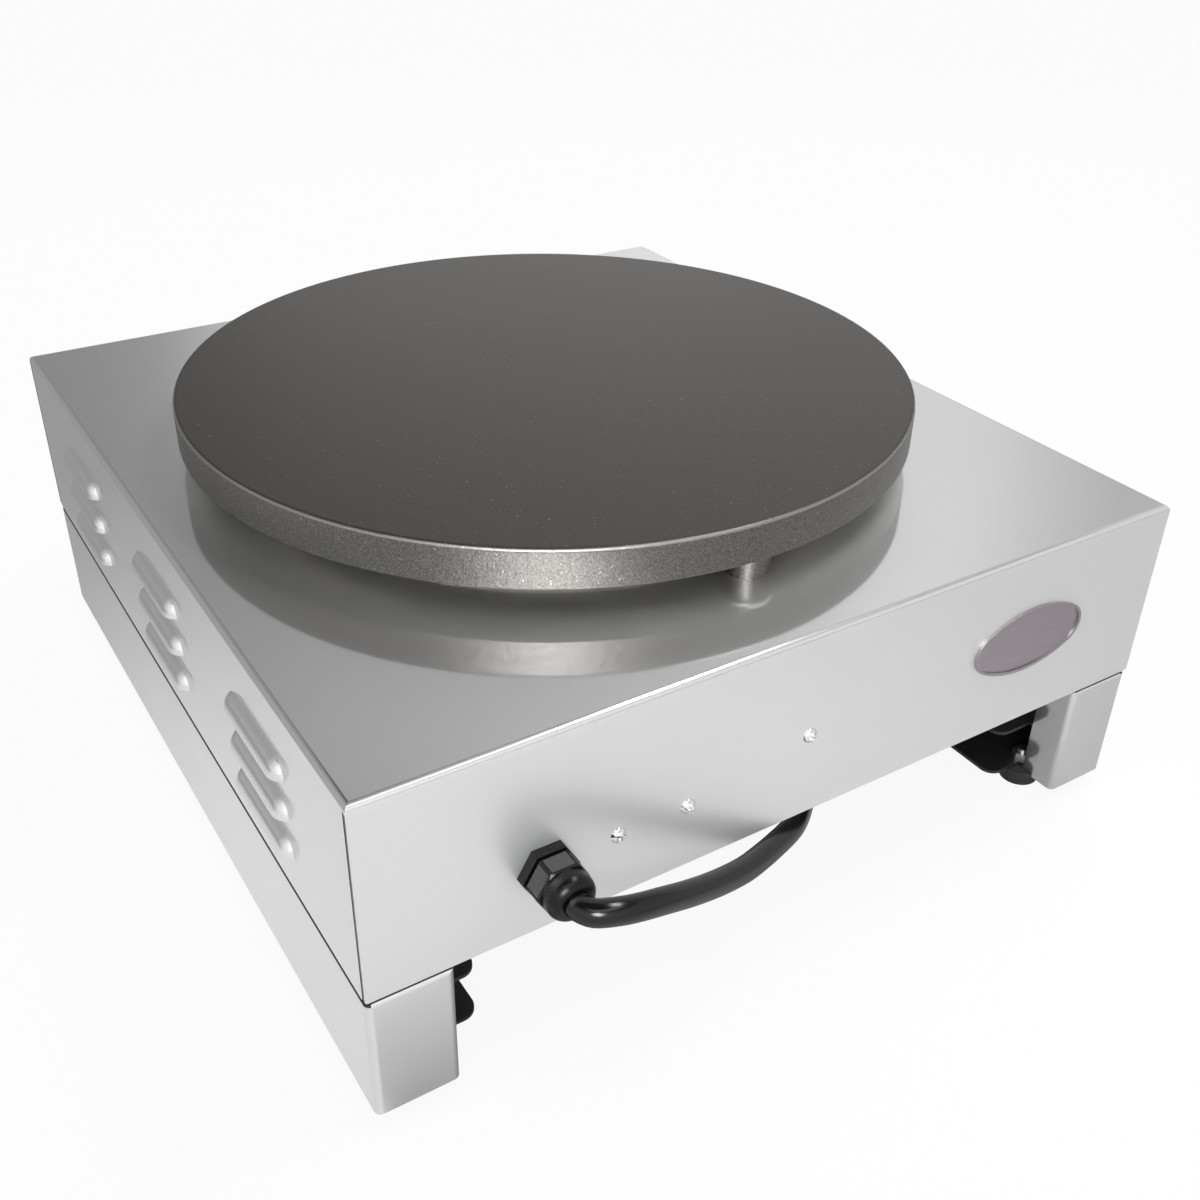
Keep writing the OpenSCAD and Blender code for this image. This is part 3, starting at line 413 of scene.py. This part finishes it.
rubber("lead_rubber", (0.0035, 0.0035, 0.004), 0.10, 0.21, 0.0012, 0.00003, 0.42)
rubber("foot_rubber", (0.02, 0.02, 0.021), 0.6, 0.75, 0.0008, 0.00008)
rubber("gland_nylon", (0.004, 0.004, 0.0045), 0.2, 0.3, 0.0006, 0.00002, 0.25)
# The grip is the same nylon painted lighter, as painted light on the nut's flats.
rubber("grip_nylon", (0.13, 0.13, 0.132), 0.4, 0.5, 0.0006, 0.00002)
rubber("plug_rubber", (0.018, 0.018, 0.019), 0.42, 0.55, 0.0007, 0.00004)
rubber("phenolic", (0.014, 0.014, 0.015), 0.28, 0.38, 0.0008, 0.00002)

# %% Lead: mesh
LEAD_FACETS = 5
lead_curve = bpy.data.curves.new("mains_lead", "CURVE")
lead_curve.dimensions = "3D"
lead_spline = lead_curve.splines.new("POLY")
lead_spline.points.add(len(lead_points) - 1)
for point, place in zip(lead_spline.points, lead_points):
    point.co = (*place, 1)
lead_curve.bevel_depth = LEAD_D / 2
lead_curve.bevel_resolution = LEAD_FACETS
lead_curve.use_fill_caps = True
lead_curve.materials.append(FINISHES["lead_rubber"])
lead = add_object("mains_lead", lead_curve)
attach(lead, "base")
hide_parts("power_cord", "cord_coil", "cord_tail")

# %% [markdown]
# ## Plug
# A rewirable rubber plug for rough use: a ribbed grip that thickens towards the face, a round
# face with a rounded edge, and two pins, which are CAD nodes.

# %% Plug
PLUG_START = Vector(TAIL_ROUTE[-1]) * MM
GRIP_LENGTH, FACE_LENGTH = 0.034, 0.016
PLUG_LENGTH = GRIP_LENGTH + FACE_LENGTH
PLUG_R, PLUG_EDGE_R, FACE_RECESS = 0.0185, 0.0015, 0.0008
GRIP_R, GRIP_FLARE = 0.0085, 0.0035
RIBS, RIB_START, RIB_PITCH, RIB_DEPTH = 6, 0.004, 0.0045, 0.0009
RIB_FLAT, VALLEY_START, VALLEY_END = 0.0026, 0.0032, 0.0040


def plug_edge(height, start):
    """A quarter round at the rim of the face, from the angle start."""
    points = []
    for k in range(5):
        a = math.radians(start + 90 * k / 4)
        r = PLUG_R - PLUG_EDGE_R + PLUG_EDGE_R * math.cos(a)
        points.append((r, height + PLUG_EDGE_R * math.sin(a)))
    return points


def plug_profile():
    points = [(0.0, 0.0), (0.0072, 0.0), (0.0082, 0.0008)]
    for k in range(RIBS):
        t = RIB_START + k * RIB_PITCH
        r = GRIP_R + GRIP_FLARE * t / GRIP_LENGTH
        valley = r - RIB_DEPTH
        points += [(r, t), (r, t + RIB_FLAT)]
        points += [(valley, t + VALLEY_START), (valley, t + VALLEY_END)]
    points += [(0.0125, GRIP_LENGTH - 0.002), (0.0145, GRIP_LENGTH - 0.0004)]
    points.append((PLUG_R - PLUG_EDGE_R, GRIP_LENGTH))
    points += plug_edge(GRIP_LENGTH + PLUG_EDGE_R, -90)
    points += plug_edge(PLUG_LENGTH - PLUG_EDGE_R, 0)
    points += [(PLUG_R - 0.004, PLUG_LENGTH), (PLUG_R - 0.0045, PLUG_LENGTH - FACE_RECESS)]
    return points + [(0.0, PLUG_LENGTH - FACE_RECESS)]


plug = mesh_piece(
    "plug_shell",
    lambda bm: revolve(bm, plug_profile(), 64),
    "plug_rubber",
    place=Matrix.Translation(PLUG_START) @ Matrix.Rotation(math.radians(90), 4, "Y"),
)
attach(plug, "base")
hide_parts("mains_plug")

# %% [markdown]
# ## Stainless sheet
# The housing and legs are bent from ground stainless. Its grain is a set of very long, very
# fine scratches, so noise stretched sixty times along the grain gives both its gloss and
# its bump. Polished steel never mirrors cleanly: part of its light comes back from a rougher
# skin, so a second, duller lobe veils the mirror, and most of all on the front and back.
# The open seams down the housing's corners and the line where it sits on its legs are painted
# nearly black: painted shade in those two creases.


# %% Stainless
ALONG_Y, NO_GRAIN = (1, 60, 1), (1, 1, 1)
# Where the painted shade lies: the seams at the corners and the line on top of the legs.
SEAM_X, SEAM_Y, SEAM_Z = (0.2264, 0.2267), (0.2425, 0.2449), (0.0785, 0.1772)
LEG_SIDE, LEG_TOP, SIDE_DROP = (0.2252, 0.2256), (0.0757, 0.0760), 0.0011


def painted_seam_shade(finish):
    """Painted shade in the open seams down the housing's corners."""
    x, y, z = finish.point()
    across = finish.step(x * x, SEAM_X[0] ** 2, SEAM_X[1] ** 2)
    along = finish.band(y * y, SEAM_Y[0] ** 2, SEAM_Y[1] ** 2, 0.00003)
    return across * along * finish.band(z, *SEAM_Z, 0.0005)


def painted_leg_line_shade(finish):
    """Painted shade along the line where the housing sits on the legs, deeper along the sides."""
    x, _, z = finish.point()
    side = finish.step(x * x, LEG_SIDE[0] ** 2, LEG_SIDE[1] ** 2)
    return finish.step(z + SIDE_DROP * side, *LEG_TOP)


def stainless(name, color, polish, satin, grain=ALONG_Y, veil=0.4, dull=0.28, painted_crease_shade=None):
    """Roughness is polish, but satin on the front and back; veil and dull share out likewise."""
    finish = Finish(name, metallic=1.0)
    streak = finish.noise(0.0004, 2, grain)
    broad = finish.noise(0.09, 3)
    facing = finish.facing()[1]
    front = finish.step(facing * facing, 0.9, 0.98)
    shade = finish.shades(broad, color, 0.97, 1.02)
    # Painted shade: the crease mask darkens the colour nearly to black.
    if painted_crease_shade is not None:
        shade = finish.mix(0.95 * painted_crease_shade(finish), shade, (0.02, 0.02, 0.02))
    rough = polish + (satin - polish) * front + 0.03 * streak + 0.02 * (broad - 0.5)
    finish.set(Base_Color=shade, Roughness=rough)
    finish.bump(streak, 0.000003)
    finish.veil(veil + dull * front, 0.5 + 0.2 * front)
    FINISHES[name] = finish.material


SHEET_COLOR = (0.72, 0.725, 0.72)
stainless("stainless_sheet", SHEET_COLOR, 0.06, 0.30, painted_crease_shade=painted_seam_shade)
stainless("leg_sheet", SHEET_COLOR, 0.09, 0.22, dull=0.0, painted_crease_shade=painted_leg_line_shade)
stainless("mill_sheet", (0.45, 0.45, 0.45), 0.35, 0.42)
stainless("bright_screw", (0.80, 0.80, 0.81), 0.12, 0.12, NO_GRAIN, 0.1)
stainless("zinc_steel", (0.58, 0.59, 0.60), 0.30, 0.30, NO_GRAIN, 0.3)
wear("stainless_sheet", "housing")
wear("leg_sheet", "side_leg_left", "side_leg_right")
wear("mill_sheet", "base_plate", "heat_shield", "clamp_plate")
wear("bright_screw", "back_panel_screws")
wear("zinc_steel", "foot_bolts", "base_screws", "plate_bolts", "clamp_studs", "clamp_nuts")
wear("zinc_steel", "thermostat_nut")

# %% [markdown]
# ## Cast iron
# The plate is turned on top and left as cast round its rim. Seasoning browns the top and dulls
# it, tiny bright points show where the iron is bare, and the rim keeps a coarse silvery grain.
# Its upper edge is painted lighter, partly as wear and partly as a painted highlight, and the
# bare underside is painted pale, as painted light caught from the polished top.


# %% Cast iron
def cast_iron():
    finish = Finish("cast_iron")
    up = finish.facing()[2]
    top = finish.step(up, 0.7, 0.97)
    cloud = finish.noise(0.12, 4)
    grain = finish.noise(0.0008, 4, roughness=0.65)
    coarse = finish.noise(0.005, 3)
    speck = finish.step(finish.noise(0.0016, 1), 0.735, 0.76)
    seasoned = finish.mix(cloud, (0.036, 0.031, 0.028), (0.050, 0.044, 0.041))
    seasoned = finish.mix(speck * 0.45, seasoned, (0.30, 0.28, 0.26))
    grains = finish.step(grain, 0.35, 0.7)
    bare_iron_and_painted_light = finish.mix(grains, (0.10, 0.094, 0.090), (0.20, 0.192, 0.185))
    bare_iron_and_painted_light = finish.mix(speck * 0.5, bare_iron_and_painted_light, (0.55, 0.54, 0.53))
    # The upper edge is painted lighter: partly wear, partly a painted highlight.
    edge = finish.step(up, 0.12, 0.4) * (1 - finish.step(up, 0.8, 0.95))
    bare_iron_and_painted_light = finish.mix(edge * 0.4, bare_iron_and_painted_light, (0.5, 0.49, 0.48))
    # The underside is painted pale: painted light caught from the polished top.
    bare_iron_and_painted_light = finish.mix(finish.step(0 - up, 0.4, 0.8), bare_iron_and_painted_light, (0.75, 0.74, 0.73))
    finish.set(
        Base_Color=finish.mix(top, bare_iron_and_painted_light, seasoned),
        Metallic=0.8 - 0.5 * top,
        Roughness=0.31 + 0.07 * top + 0.10 * (grain - 0.5) + 0.06 * (cloud - 0.5),
    )
    finish.bump((grain * 0.5 + coarse * 0.7) * (1 - top) + grain * 0.08 * top, 0.00025)
    FINISHES["cast_iron"] = finish.material


cast_iron()
wear("cast_iron", "griddle_plate")


# %% Other finishes
def painted(name, color, roughness, grain=0.0008, depth=0.00002, metallic=0.0, spread=0.15):
    """A plain coat: slow change of shade and a fine skin."""
    finish = Finish(name, metallic=metallic)
    slow = finish.noise(0.02, 3)
    fine = finish.noise(grain, 3)
    finish.set(
        Base_Color=finish.shades(slow, color, 1 - spread, 1 + spread),
        Roughness=roughness + 0.08 * (fine - 0.5),
    )
    finish.bump(fine, depth)
    FINISHES[name] = finish.material


painted("black_paint", (0.022, 0.021, 0.021), 0.42, 0.0014, 0.00018, spread=0.4)
painted("element_sheath", (0.16, 0.145, 0.13), 0.4, metallic=0.9, spread=0.3)
painted("ceramic_fibre", (0.72, 0.68, 0.6), 0.9, 0.0006, 0.0003)
painted("white_ceramic", (0.72, 0.70, 0.64), 0.25)
painted("copper_tube", (0.72, 0.36, 0.22), 0.3, metallic=1.0)
painted("brass_metal", (0.72, 0.55, 0.26), 0.28, metallic=1.0)
painted("rocker_plastic", (0.30, 0.012, 0.010), 0.22)
painted("green_lens", (0.02, 0.30, 0.05), 0.12)
painted("amber_lens", (0.65, 0.16, 0.01), 0.12)
painted("white_print", (0.75, 0.75, 0.74), 0.5)
painted("black_print", (0.015, 0.015, 0.015), 0.5)
wear("black_paint", "foot_rail_left", "foot_rail_right")
wear("foot_rubber", "foot_front_left", "foot_front_right", "foot_rear_left", "foot_rear_right")
wear("element_sheath", "outer_element", "inner_element")
wear("ceramic_fibre", "insulation_pad")
wear("white_ceramic", "thermostat_body", "limiter_body", "terminal_block")
wear("copper_tube", "thermostat_bulb", "limiter_bulb")
wear("brass_metal", "thermostat_shaft", "earth_stud", "plug_pins")
wear("rocker_plastic", "switch_rocker")
wear("green_lens", "power_lamp_lens")
wear("amber_lens", "heating_lamp_lens")
wear("phenolic", "thermostat_knob", "switch_housing", "lamp_bodies")
wear("lead_rubber", "inner_lead", "gland_seal")
wear("gland_nylon", "gland_body", "gland_cap", "gland_locknut")
wear("plug_rubber", "mains_plug")


# %% Brushed plates
def brushed_plate(name, color, roughness):
    """Metal brushed along X."""
    finish = Finish(name, metallic=1.0)
    streak = finish.noise(0.0005, 3, (40, 1, 1))
    broad = finish.noise(0.02, 2)
    finish.set(
        Base_Color=finish.shades(streak, color, 0.8, 1.15),
        Roughness=roughness + 0.12 * streak + 0.05 * broad,
    )
    finish.bump(streak, 0.00001)
    FINISHES[name] = finish.material


brushed_plate("badge_metal", (0.40, 0.36, 0.39), 0.25)
brushed_plate("dial_metal", (0.62, 0.62, 0.62), 0.28)
wear("badge_metal", "badge_plate")
wear("dial_metal", "dial_plate")

# %% [markdown]
# ## Things that repeat
# Studs on the gland's flats and the marks round the dial are the same thing at heart: small
# bars in a row, rows in layers, and that block turned about an axis many times. One node
# group does both.


# %% Node group: rows of bars about an axis
class Graph(Recipe):
    """A geometry node group with named inputs."""

    family = "GeometryNode"

    def __init__(self, name, inputs):
        super().__init__(bpy.data.node_groups.new(name, "GeometryNodeTree"))
        add_socket = self.tree.interface.new_socket
        for label, kind in inputs.items():
            add_socket(name=label, in_out="INPUT", socket_type="NodeSocket" + kind)
        add_socket(name="Geometry", in_out="OUTPUT", socket_type="NodeSocketGeometry")
        self.inputs = self.tree.nodes.new("NodeGroupInput").outputs

    def combine(self, x=None, y=None, z=None):
        """A vector from links, with 0 where there is none."""
        node = self.tree.nodes.new("ShaderNodeCombineXYZ")
        for key, item in zip("XYZ", (x, y, z)):
            if isinstance(item, Value):
                item = item.socket
            if item is not None:
                self.tree.links.new(item, node.inputs[key])
        return node.outputs[0]

    def copies(self, points, piece, turn=None):
        """The piece at every point, each turned by the vector turn."""
        sockets = {"Points": points.outputs[0], "Instance": piece.outputs[0]}
        if turn is not None:
            sockets["Rotation"] = turn
        return self.node("InstanceOnPoints", None, sockets)

    def finish(self, geometry):
        """Makes the copies real, gives them the material and closes the group."""
        real = self.node("RealizeInstances", None, {"Geometry": geometry})
        colored = self.node(
            "SetMaterial", None, {"Geometry": real.outputs[0], "Material": self.inputs["Material"]}
        )
        self.tree.links.new(colored.outputs[0], self.tree.nodes.new("NodeGroupOutput").inputs[0])
        return self.tree


def bars_graph():
    graph = Graph(
        "bars_about_an_axis",
        {
            "Turns": "Int", "Step": "Float", "Start": "Float", "Row": "Int", "Layers": "Int",
            "Pitch": "Float", "Radius": "Float", "Size": "Vector", "Material": "Material",
        },  # fmt: skip
    )
    inputs = graph.inputs
    pitch, row_count, step, start = (
        Value(graph.tree, inputs[label]) for label in ("Pitch", "Row", "Step", "Start")
    )
    bar = graph.node("MeshCube", None, {"Size": inputs["Size"]})
    row = graph.node(
        "MeshLine",
        None,
        {
            "Count": inputs["Row"],
            "Start Location": graph.combine(inputs["Radius"], -0.5 * pitch * (row_count - 1)),
            "Offset": graph.combine(None, pitch),
        },
    )
    rise = graph.node(
        "MeshLine", None, {"Count": inputs["Layers"], "Offset": graph.combine(None, None, pitch)}
    )
    turns = graph.node("MeshLine", None, {"Count": inputs["Turns"], "Offset": (0, 0, 0)})
    index = Value(graph.tree, graph.node("InputIndex").outputs[0])
    turn = graph.combine(None, None, index * step + start)
    block = graph.copies(rise, graph.copies(row, bar))
    return graph.finish(graph.copies(turns, block, turn).outputs[0])


BARS = bars_graph()


def baked(piece):
    """A new mesh of what the piece shows now."""
    bpy.context.view_layer.update()
    graph = bpy.context.evaluated_depsgraph_get()
    return bpy.data.meshes.new_from_object(piece.evaluated_get(graph))


def bars(name, finish, place, **values):
    """One use of the group, made into a plain mesh at its place."""
    piece = add_object(name, bpy.data.meshes.new(name))
    modifier = piece.modifiers.new("bars", "NODES")
    modifier.node_group = BARS
    values = {"Material": FINISHES[finish], "Start": 0.0, "Layers": 1, **values}
    for item in BARS.interface.items_tree:
        if item.in_out == "INPUT":
            modifier[item.identifier] = values[item.name]
    mesh = baked(piece)
    piece.modifiers.remove(modifier)
    mesh.transform(place)
    piece.data = mesh
    return piece


def ride_with(body, *pieces):
    for piece in pieces:
        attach(piece, body)


# %% [markdown]
# ## Gland grip
# A fine grid of studs gives fingers a hold on the flats of the gland's nut. The studs are
# painted a lighter grey than the nut, which stands in for light on its flats.

# %% Gland grip
BACK_Y, FRONT_Y = 0.245, -0.245
GLAND_X, GLAND_Z, GRIP_OUT, NUT_APOTHEM = 0.1443, 0.1118, 0.0070, 0.01125
grip = bars(
    "gland_grip",
    "grip_nylon",
    back_place(GLAND_X, GLAND_Z, BACK_Y + GRIP_OUT),
    Turns=6,
    Step=math.radians(60),
    Start=math.radians(30),
    Row=12,
    Layers=9,
    Pitch=0.0009,
    Radius=NUT_APOTHEM,
    Size=(0.0006, 0.00055, 0.00055),
)
ride_with("base", grip)

# %% [markdown]
# ## Dial and knob
# The knob turns clockwise through 270 degrees from off. Seven figures mark every 50 degrees of
# heat, with short bars between them, and a white line runs down the knob's side.


# %% Dial and knob
def box_mark(bm, width, height, thickness):
    bmesh.ops.create_cube(bm, size=1, matrix=Matrix.Diagonal((width, height, thickness, 1)))


def figure(name, text, place):
    """A printed figure, made into a plain mesh at its place."""
    curve = bpy.data.curves.new(name, "FONT")
    curve.body = text
    curve.size = FIGURE_SIZE
    curve.align_x = "CENTER"
    curve.align_y = "CENTER"
    curve.extrude = PRINT_T
    holder = add_object(name, curve)
    mesh = baked(holder)
    bpy.data.objects.remove(holder)
    mesh.transform(place)
    mesh.materials.clear()
    mesh.materials.append(FINISHES["black_print"])
    return add_object(name, mesh)


KNOB_X, ROCKER_X, CONTROL_Z = 0.075, -0.075, 0.129
DIAL_T, SKIRT_GAP = 0.001, 0.001
TICKS, TICK_STEP, TICK_RING = 31, 9, 0.0252
FIGURES, FIGURE_STEP, FIGURE_HEAT, FIGURE_RING, FIGURE_SIZE = 7, 45, 50, 0.0290, 0.0042
PRINT_T = 0.00003
dial_face = front_place(KNOB_X, CONTROL_Z, FRONT_Y - DIAL_T)
ticks = bars(
    "dial_marks",
    "black_print",
    dial_face,
    Turns=TICKS,
    Step=math.radians(-TICK_STEP),
    Start=math.radians(90),
    Row=1,
    Pitch=0.0,
    Radius=TICK_RING,
    Size=(0.0016, 0.0004, 0.00008),
)
figures = []
for k in range(FIGURES):
    angle = math.radians(90 - FIGURE_STEP * k)
    spot = (FIGURE_RING * math.cos(angle), FIGURE_RING * math.sin(angle), PRINT_T)
    heat = str(FIGURE_HEAT * k)
    figures.append(figure("dial_" + heat, heat, dial_face @ Matrix.Translation(spot)))
ride_with("base", ticks, *figures)

# The line lies on the knob's sloping side, from the skirt up to the face.
LINE_WIDTH, LINE_T, LINE_SHORT = 0.0012, 0.0002, 0.001
slope_low, slope_high = Vector((0.0215, 0.0045)), Vector((0.01806, 0.019))
slope = slope_high - slope_low
line_turn = Matrix.Rotation(math.atan2(slope.y, slope.x), 4, "X")
line_middle = (slope_low + slope_high) / 2
pointer_line = mesh_piece(
    "pointer_line",
    lambda bm: box_mark(bm, LINE_WIDTH, slope.length - LINE_SHORT, LINE_T),
    "white_print",
    smooth=False,
    place=front_place(KNOB_X, CONTROL_Z, FRONT_Y - DIAL_T - SKIRT_GAP)
    @ Matrix.Translation((0, line_middle.x, line_middle.y))
    @ line_turn,
)
ride_with("thermostat_knob", pointer_line)

# %% [markdown]
# ## Rocker marks
# The two usual signs: a bar for on and a ring for off, each flat on its own half of the face.


# %% Rocker marks
ROCKER_TILT, ROCKER_OUT, MARK_OUT = math.radians(8), 0.004, 0.0068
RING_OUTER, RING_INNER, RING_TOP, RING_FOOT = 0.0022, 0.0015, 0.00006, -0.0001


def rocker_mark(name, build, up):
    """A mark on the upper (1) or lower (-1) half of the rocker's shallow V."""
    rise = ROCKER_OUT + MARK_OUT * math.tan(ROCKER_TILT)
    face = Matrix.Translation((0, MARK_OUT * up, rise))
    rest = Matrix.Rotation(ROCKER_TILT, 4, "X")
    half = Matrix.Rotation(ROCKER_TILT * up, 4, "X")
    place = front_place(ROCKER_X, CONTROL_Z, FRONT_Y) @ rest @ face @ half
    return mesh_piece(name, build, "white_print", smooth=False, place=place)


def ring_mark(bm):
    top = [(RING_INNER, RING_TOP), (RING_OUTER, RING_TOP)]
    foot = [(RING_OUTER, RING_FOOT), (RING_INNER, RING_FOOT)]
    revolve(bm, top + foot + top[:1], 32)


ride_with(
    "power_rocker",
    rocker_mark("rocker_on", lambda bm: box_mark(bm, 0.0007, 0.0044, 0.00015), 1),
    rocker_mark("rocker_off", ring_mark, -1),
)

# %% [markdown]
# ## Floor
# White, without more light on the object: rays from the camera meet a floor that mostly glows
# at strength 1, and the share of it that is lit keeps the shadow. Mirror rays find the same
# floor with painted light in its glow: it falls off to the sides as a swept floor does away
# from its lamps, with a painted shadow under the appliance's back. All other rays meet plain
# white paint.


# %% Floor
FLOOR_WHITE, SEEN_GLOW, MIRRORED_GLOW = (0.92, 0.92, 0.92), 0.92, 0.72
FLOOR_HALF, FLOOR_DROP = 6, 0.0002


def floor_material():
    finish = Finish("floor_white", roughness=0.9, Base_Color=FLOOR_WHITE)
    rays = finish.node("LightPath")
    seen = finish.value(rays, "Is Camera Ray")
    mirrored = finish.value(rays, "Is Glossy Ray") + finish.value(rays, "Is Transmission Ray")
    x, y, _ = finish.point()
    # A painted shadow under the appliance's back, which the lead and the legs mirror.
    shade = finish.step(y, 0.1, 0.2) * (1 - finish.step(y, 0.22, 0.36))
    shade = shade * (0.5 + 0.5 * finish.step(x, -0.08, -0.04)) * (1 - finish.step(x, 0.214, 0.228))
    painted_falloff = (0.22 + 0.8 * finish.step(y, -0.45, 0.08)) * (0.52 + 0.5 * finish.step(x, -0.42, 0.05))
    strength = seen + (1 - seen) * painted_falloff * (1 - 0.85 * shade)
    glow = finish.node("Emission", None, {"Strength": strength})
    finish.surface((SEEN_GLOW * seen + MIRRORED_GLOW * mirrored).clamped(), finish.shader, glow)
    FINISHES["floor_white"] = finish.material


floor_material()
floor = mesh_piece(
    "floor",
    lambda bm: bmesh.ops.create_grid(bm, x_segments=1, y_segments=1, size=FLOOR_HALF),
    "floor_white",
    smooth=False,
)
floor.location.z = -FLOOR_DROP

# %% [markdown]
# ## Sky and lamps
# The polished sheet mirrors the sky, so the sky carries the studio's own shades: a wall that
# changes with its heading, a low window in it, a dark ceiling with one long strip for the fold
# along the back, and a bright spot for the middle of the rim. Matt surfaces get one plain grey
# sky. Behind the camera stands a small box, and one hangs overhead for the light on the lead.


# %% Sky
MATT_SKY, WALL_GAIN, WINDOW_GAIN, STRIP_GAIN, SPOT_GAIN = 0.58, 1.25, 0.5, 2.5, 15
SPOT_HEADING = (0.424, 0.735, 0.53)
# The wall's shade at each heading in degrees, where 0 is +X and 90 is +Y.
WALL_SHADES = (
    (-180, 0.55), (-160, 0.40), (-146, 0.36), (-140, 0.72), (-136, 0.74), (-130, 0.54),
    (-120, 0.48), (-108, 0.38), (-100, 0.24), (-90, 0.22), (-55, 0.35), (0, 0.85), (60, 1.0),
    (120, 0.80), (180, 0.55),
)  # fmt: skip


def sky():
    world = bpy.data.worlds.new("studio")
    bpy.context.scene.world = world
    world.use_nodes = True
    recipe = Recipe(world.node_tree)
    x, y, z = recipe.parts(recipe.node("TexCoord").outputs["Generated"])
    around = y.math("ARCTAN2", y, x) / (2 * math.pi) + 0.5
    stops = [((heading + 180) / 360, (shade,) * 3) for heading, shade in WALL_SHADES]
    wall = Value(recipe.tree, recipe.ramp(around, *stops)) * WALL_GAIN
    ceiling = 1 - 0.9 * recipe.step(z, 0.64, 0.69)
    window = recipe.step(around, 0.125, 0.15) * (1 - recipe.step(around, 0.195, 0.215))
    wall = wall * ceiling + WINDOW_GAIN * window * (1 - recipe.step(z, 0.38, 0.46))
    wall = wall + STRIP_GAIN * recipe.band(z, 0.80, 0.90, 0.03) * recipe.step(y, 0.1, 0.3)
    toward_spot = SPOT_HEADING[0] * x + SPOT_HEADING[1] * y + SPOT_HEADING[2] * z
    wall = wall + SPOT_GAIN * recipe.step(toward_spot, 0.965, 0.99)
    rays = recipe.node("LightPath")
    color = recipe.mix(recipe.value(rays, "Is Glossy Ray"), (MATT_SKY,) * 3, wall.socket)
    shown = recipe.mix(recipe.value(rays, "Is Camera Ray"), color, (1, 1, 1))
    world.node_tree.links.new(shown, world.node_tree.nodes["Background"].inputs["Color"])


sky()


def soft_box(name, place, aim, size, power):
    """A rectangular lamp at place that faces aim."""
    data = bpy.data.lights.new(name, "AREA")
    data.shape = "RECTANGLE"
    data.size, data.size_y = size
    data.energy = power
    lamp = add_object(name, data)
    lamp.location = place
    lamp.rotation_euler = (Vector(aim) - Vector(place)).to_track_quat("-Z", "Y").to_euler()
    return lamp


HOUSING_MIDDLE = (0, 0, 0.12)
soft_box("behind_camera", (0.70, 1.20, 0.86), HOUSING_MIDDLE, (0.6, 0.35), 4)
soft_box("overhead", (-0.70, 0.18, 1.60), HOUSING_MIDDLE, (0.8, 0.3), 11)
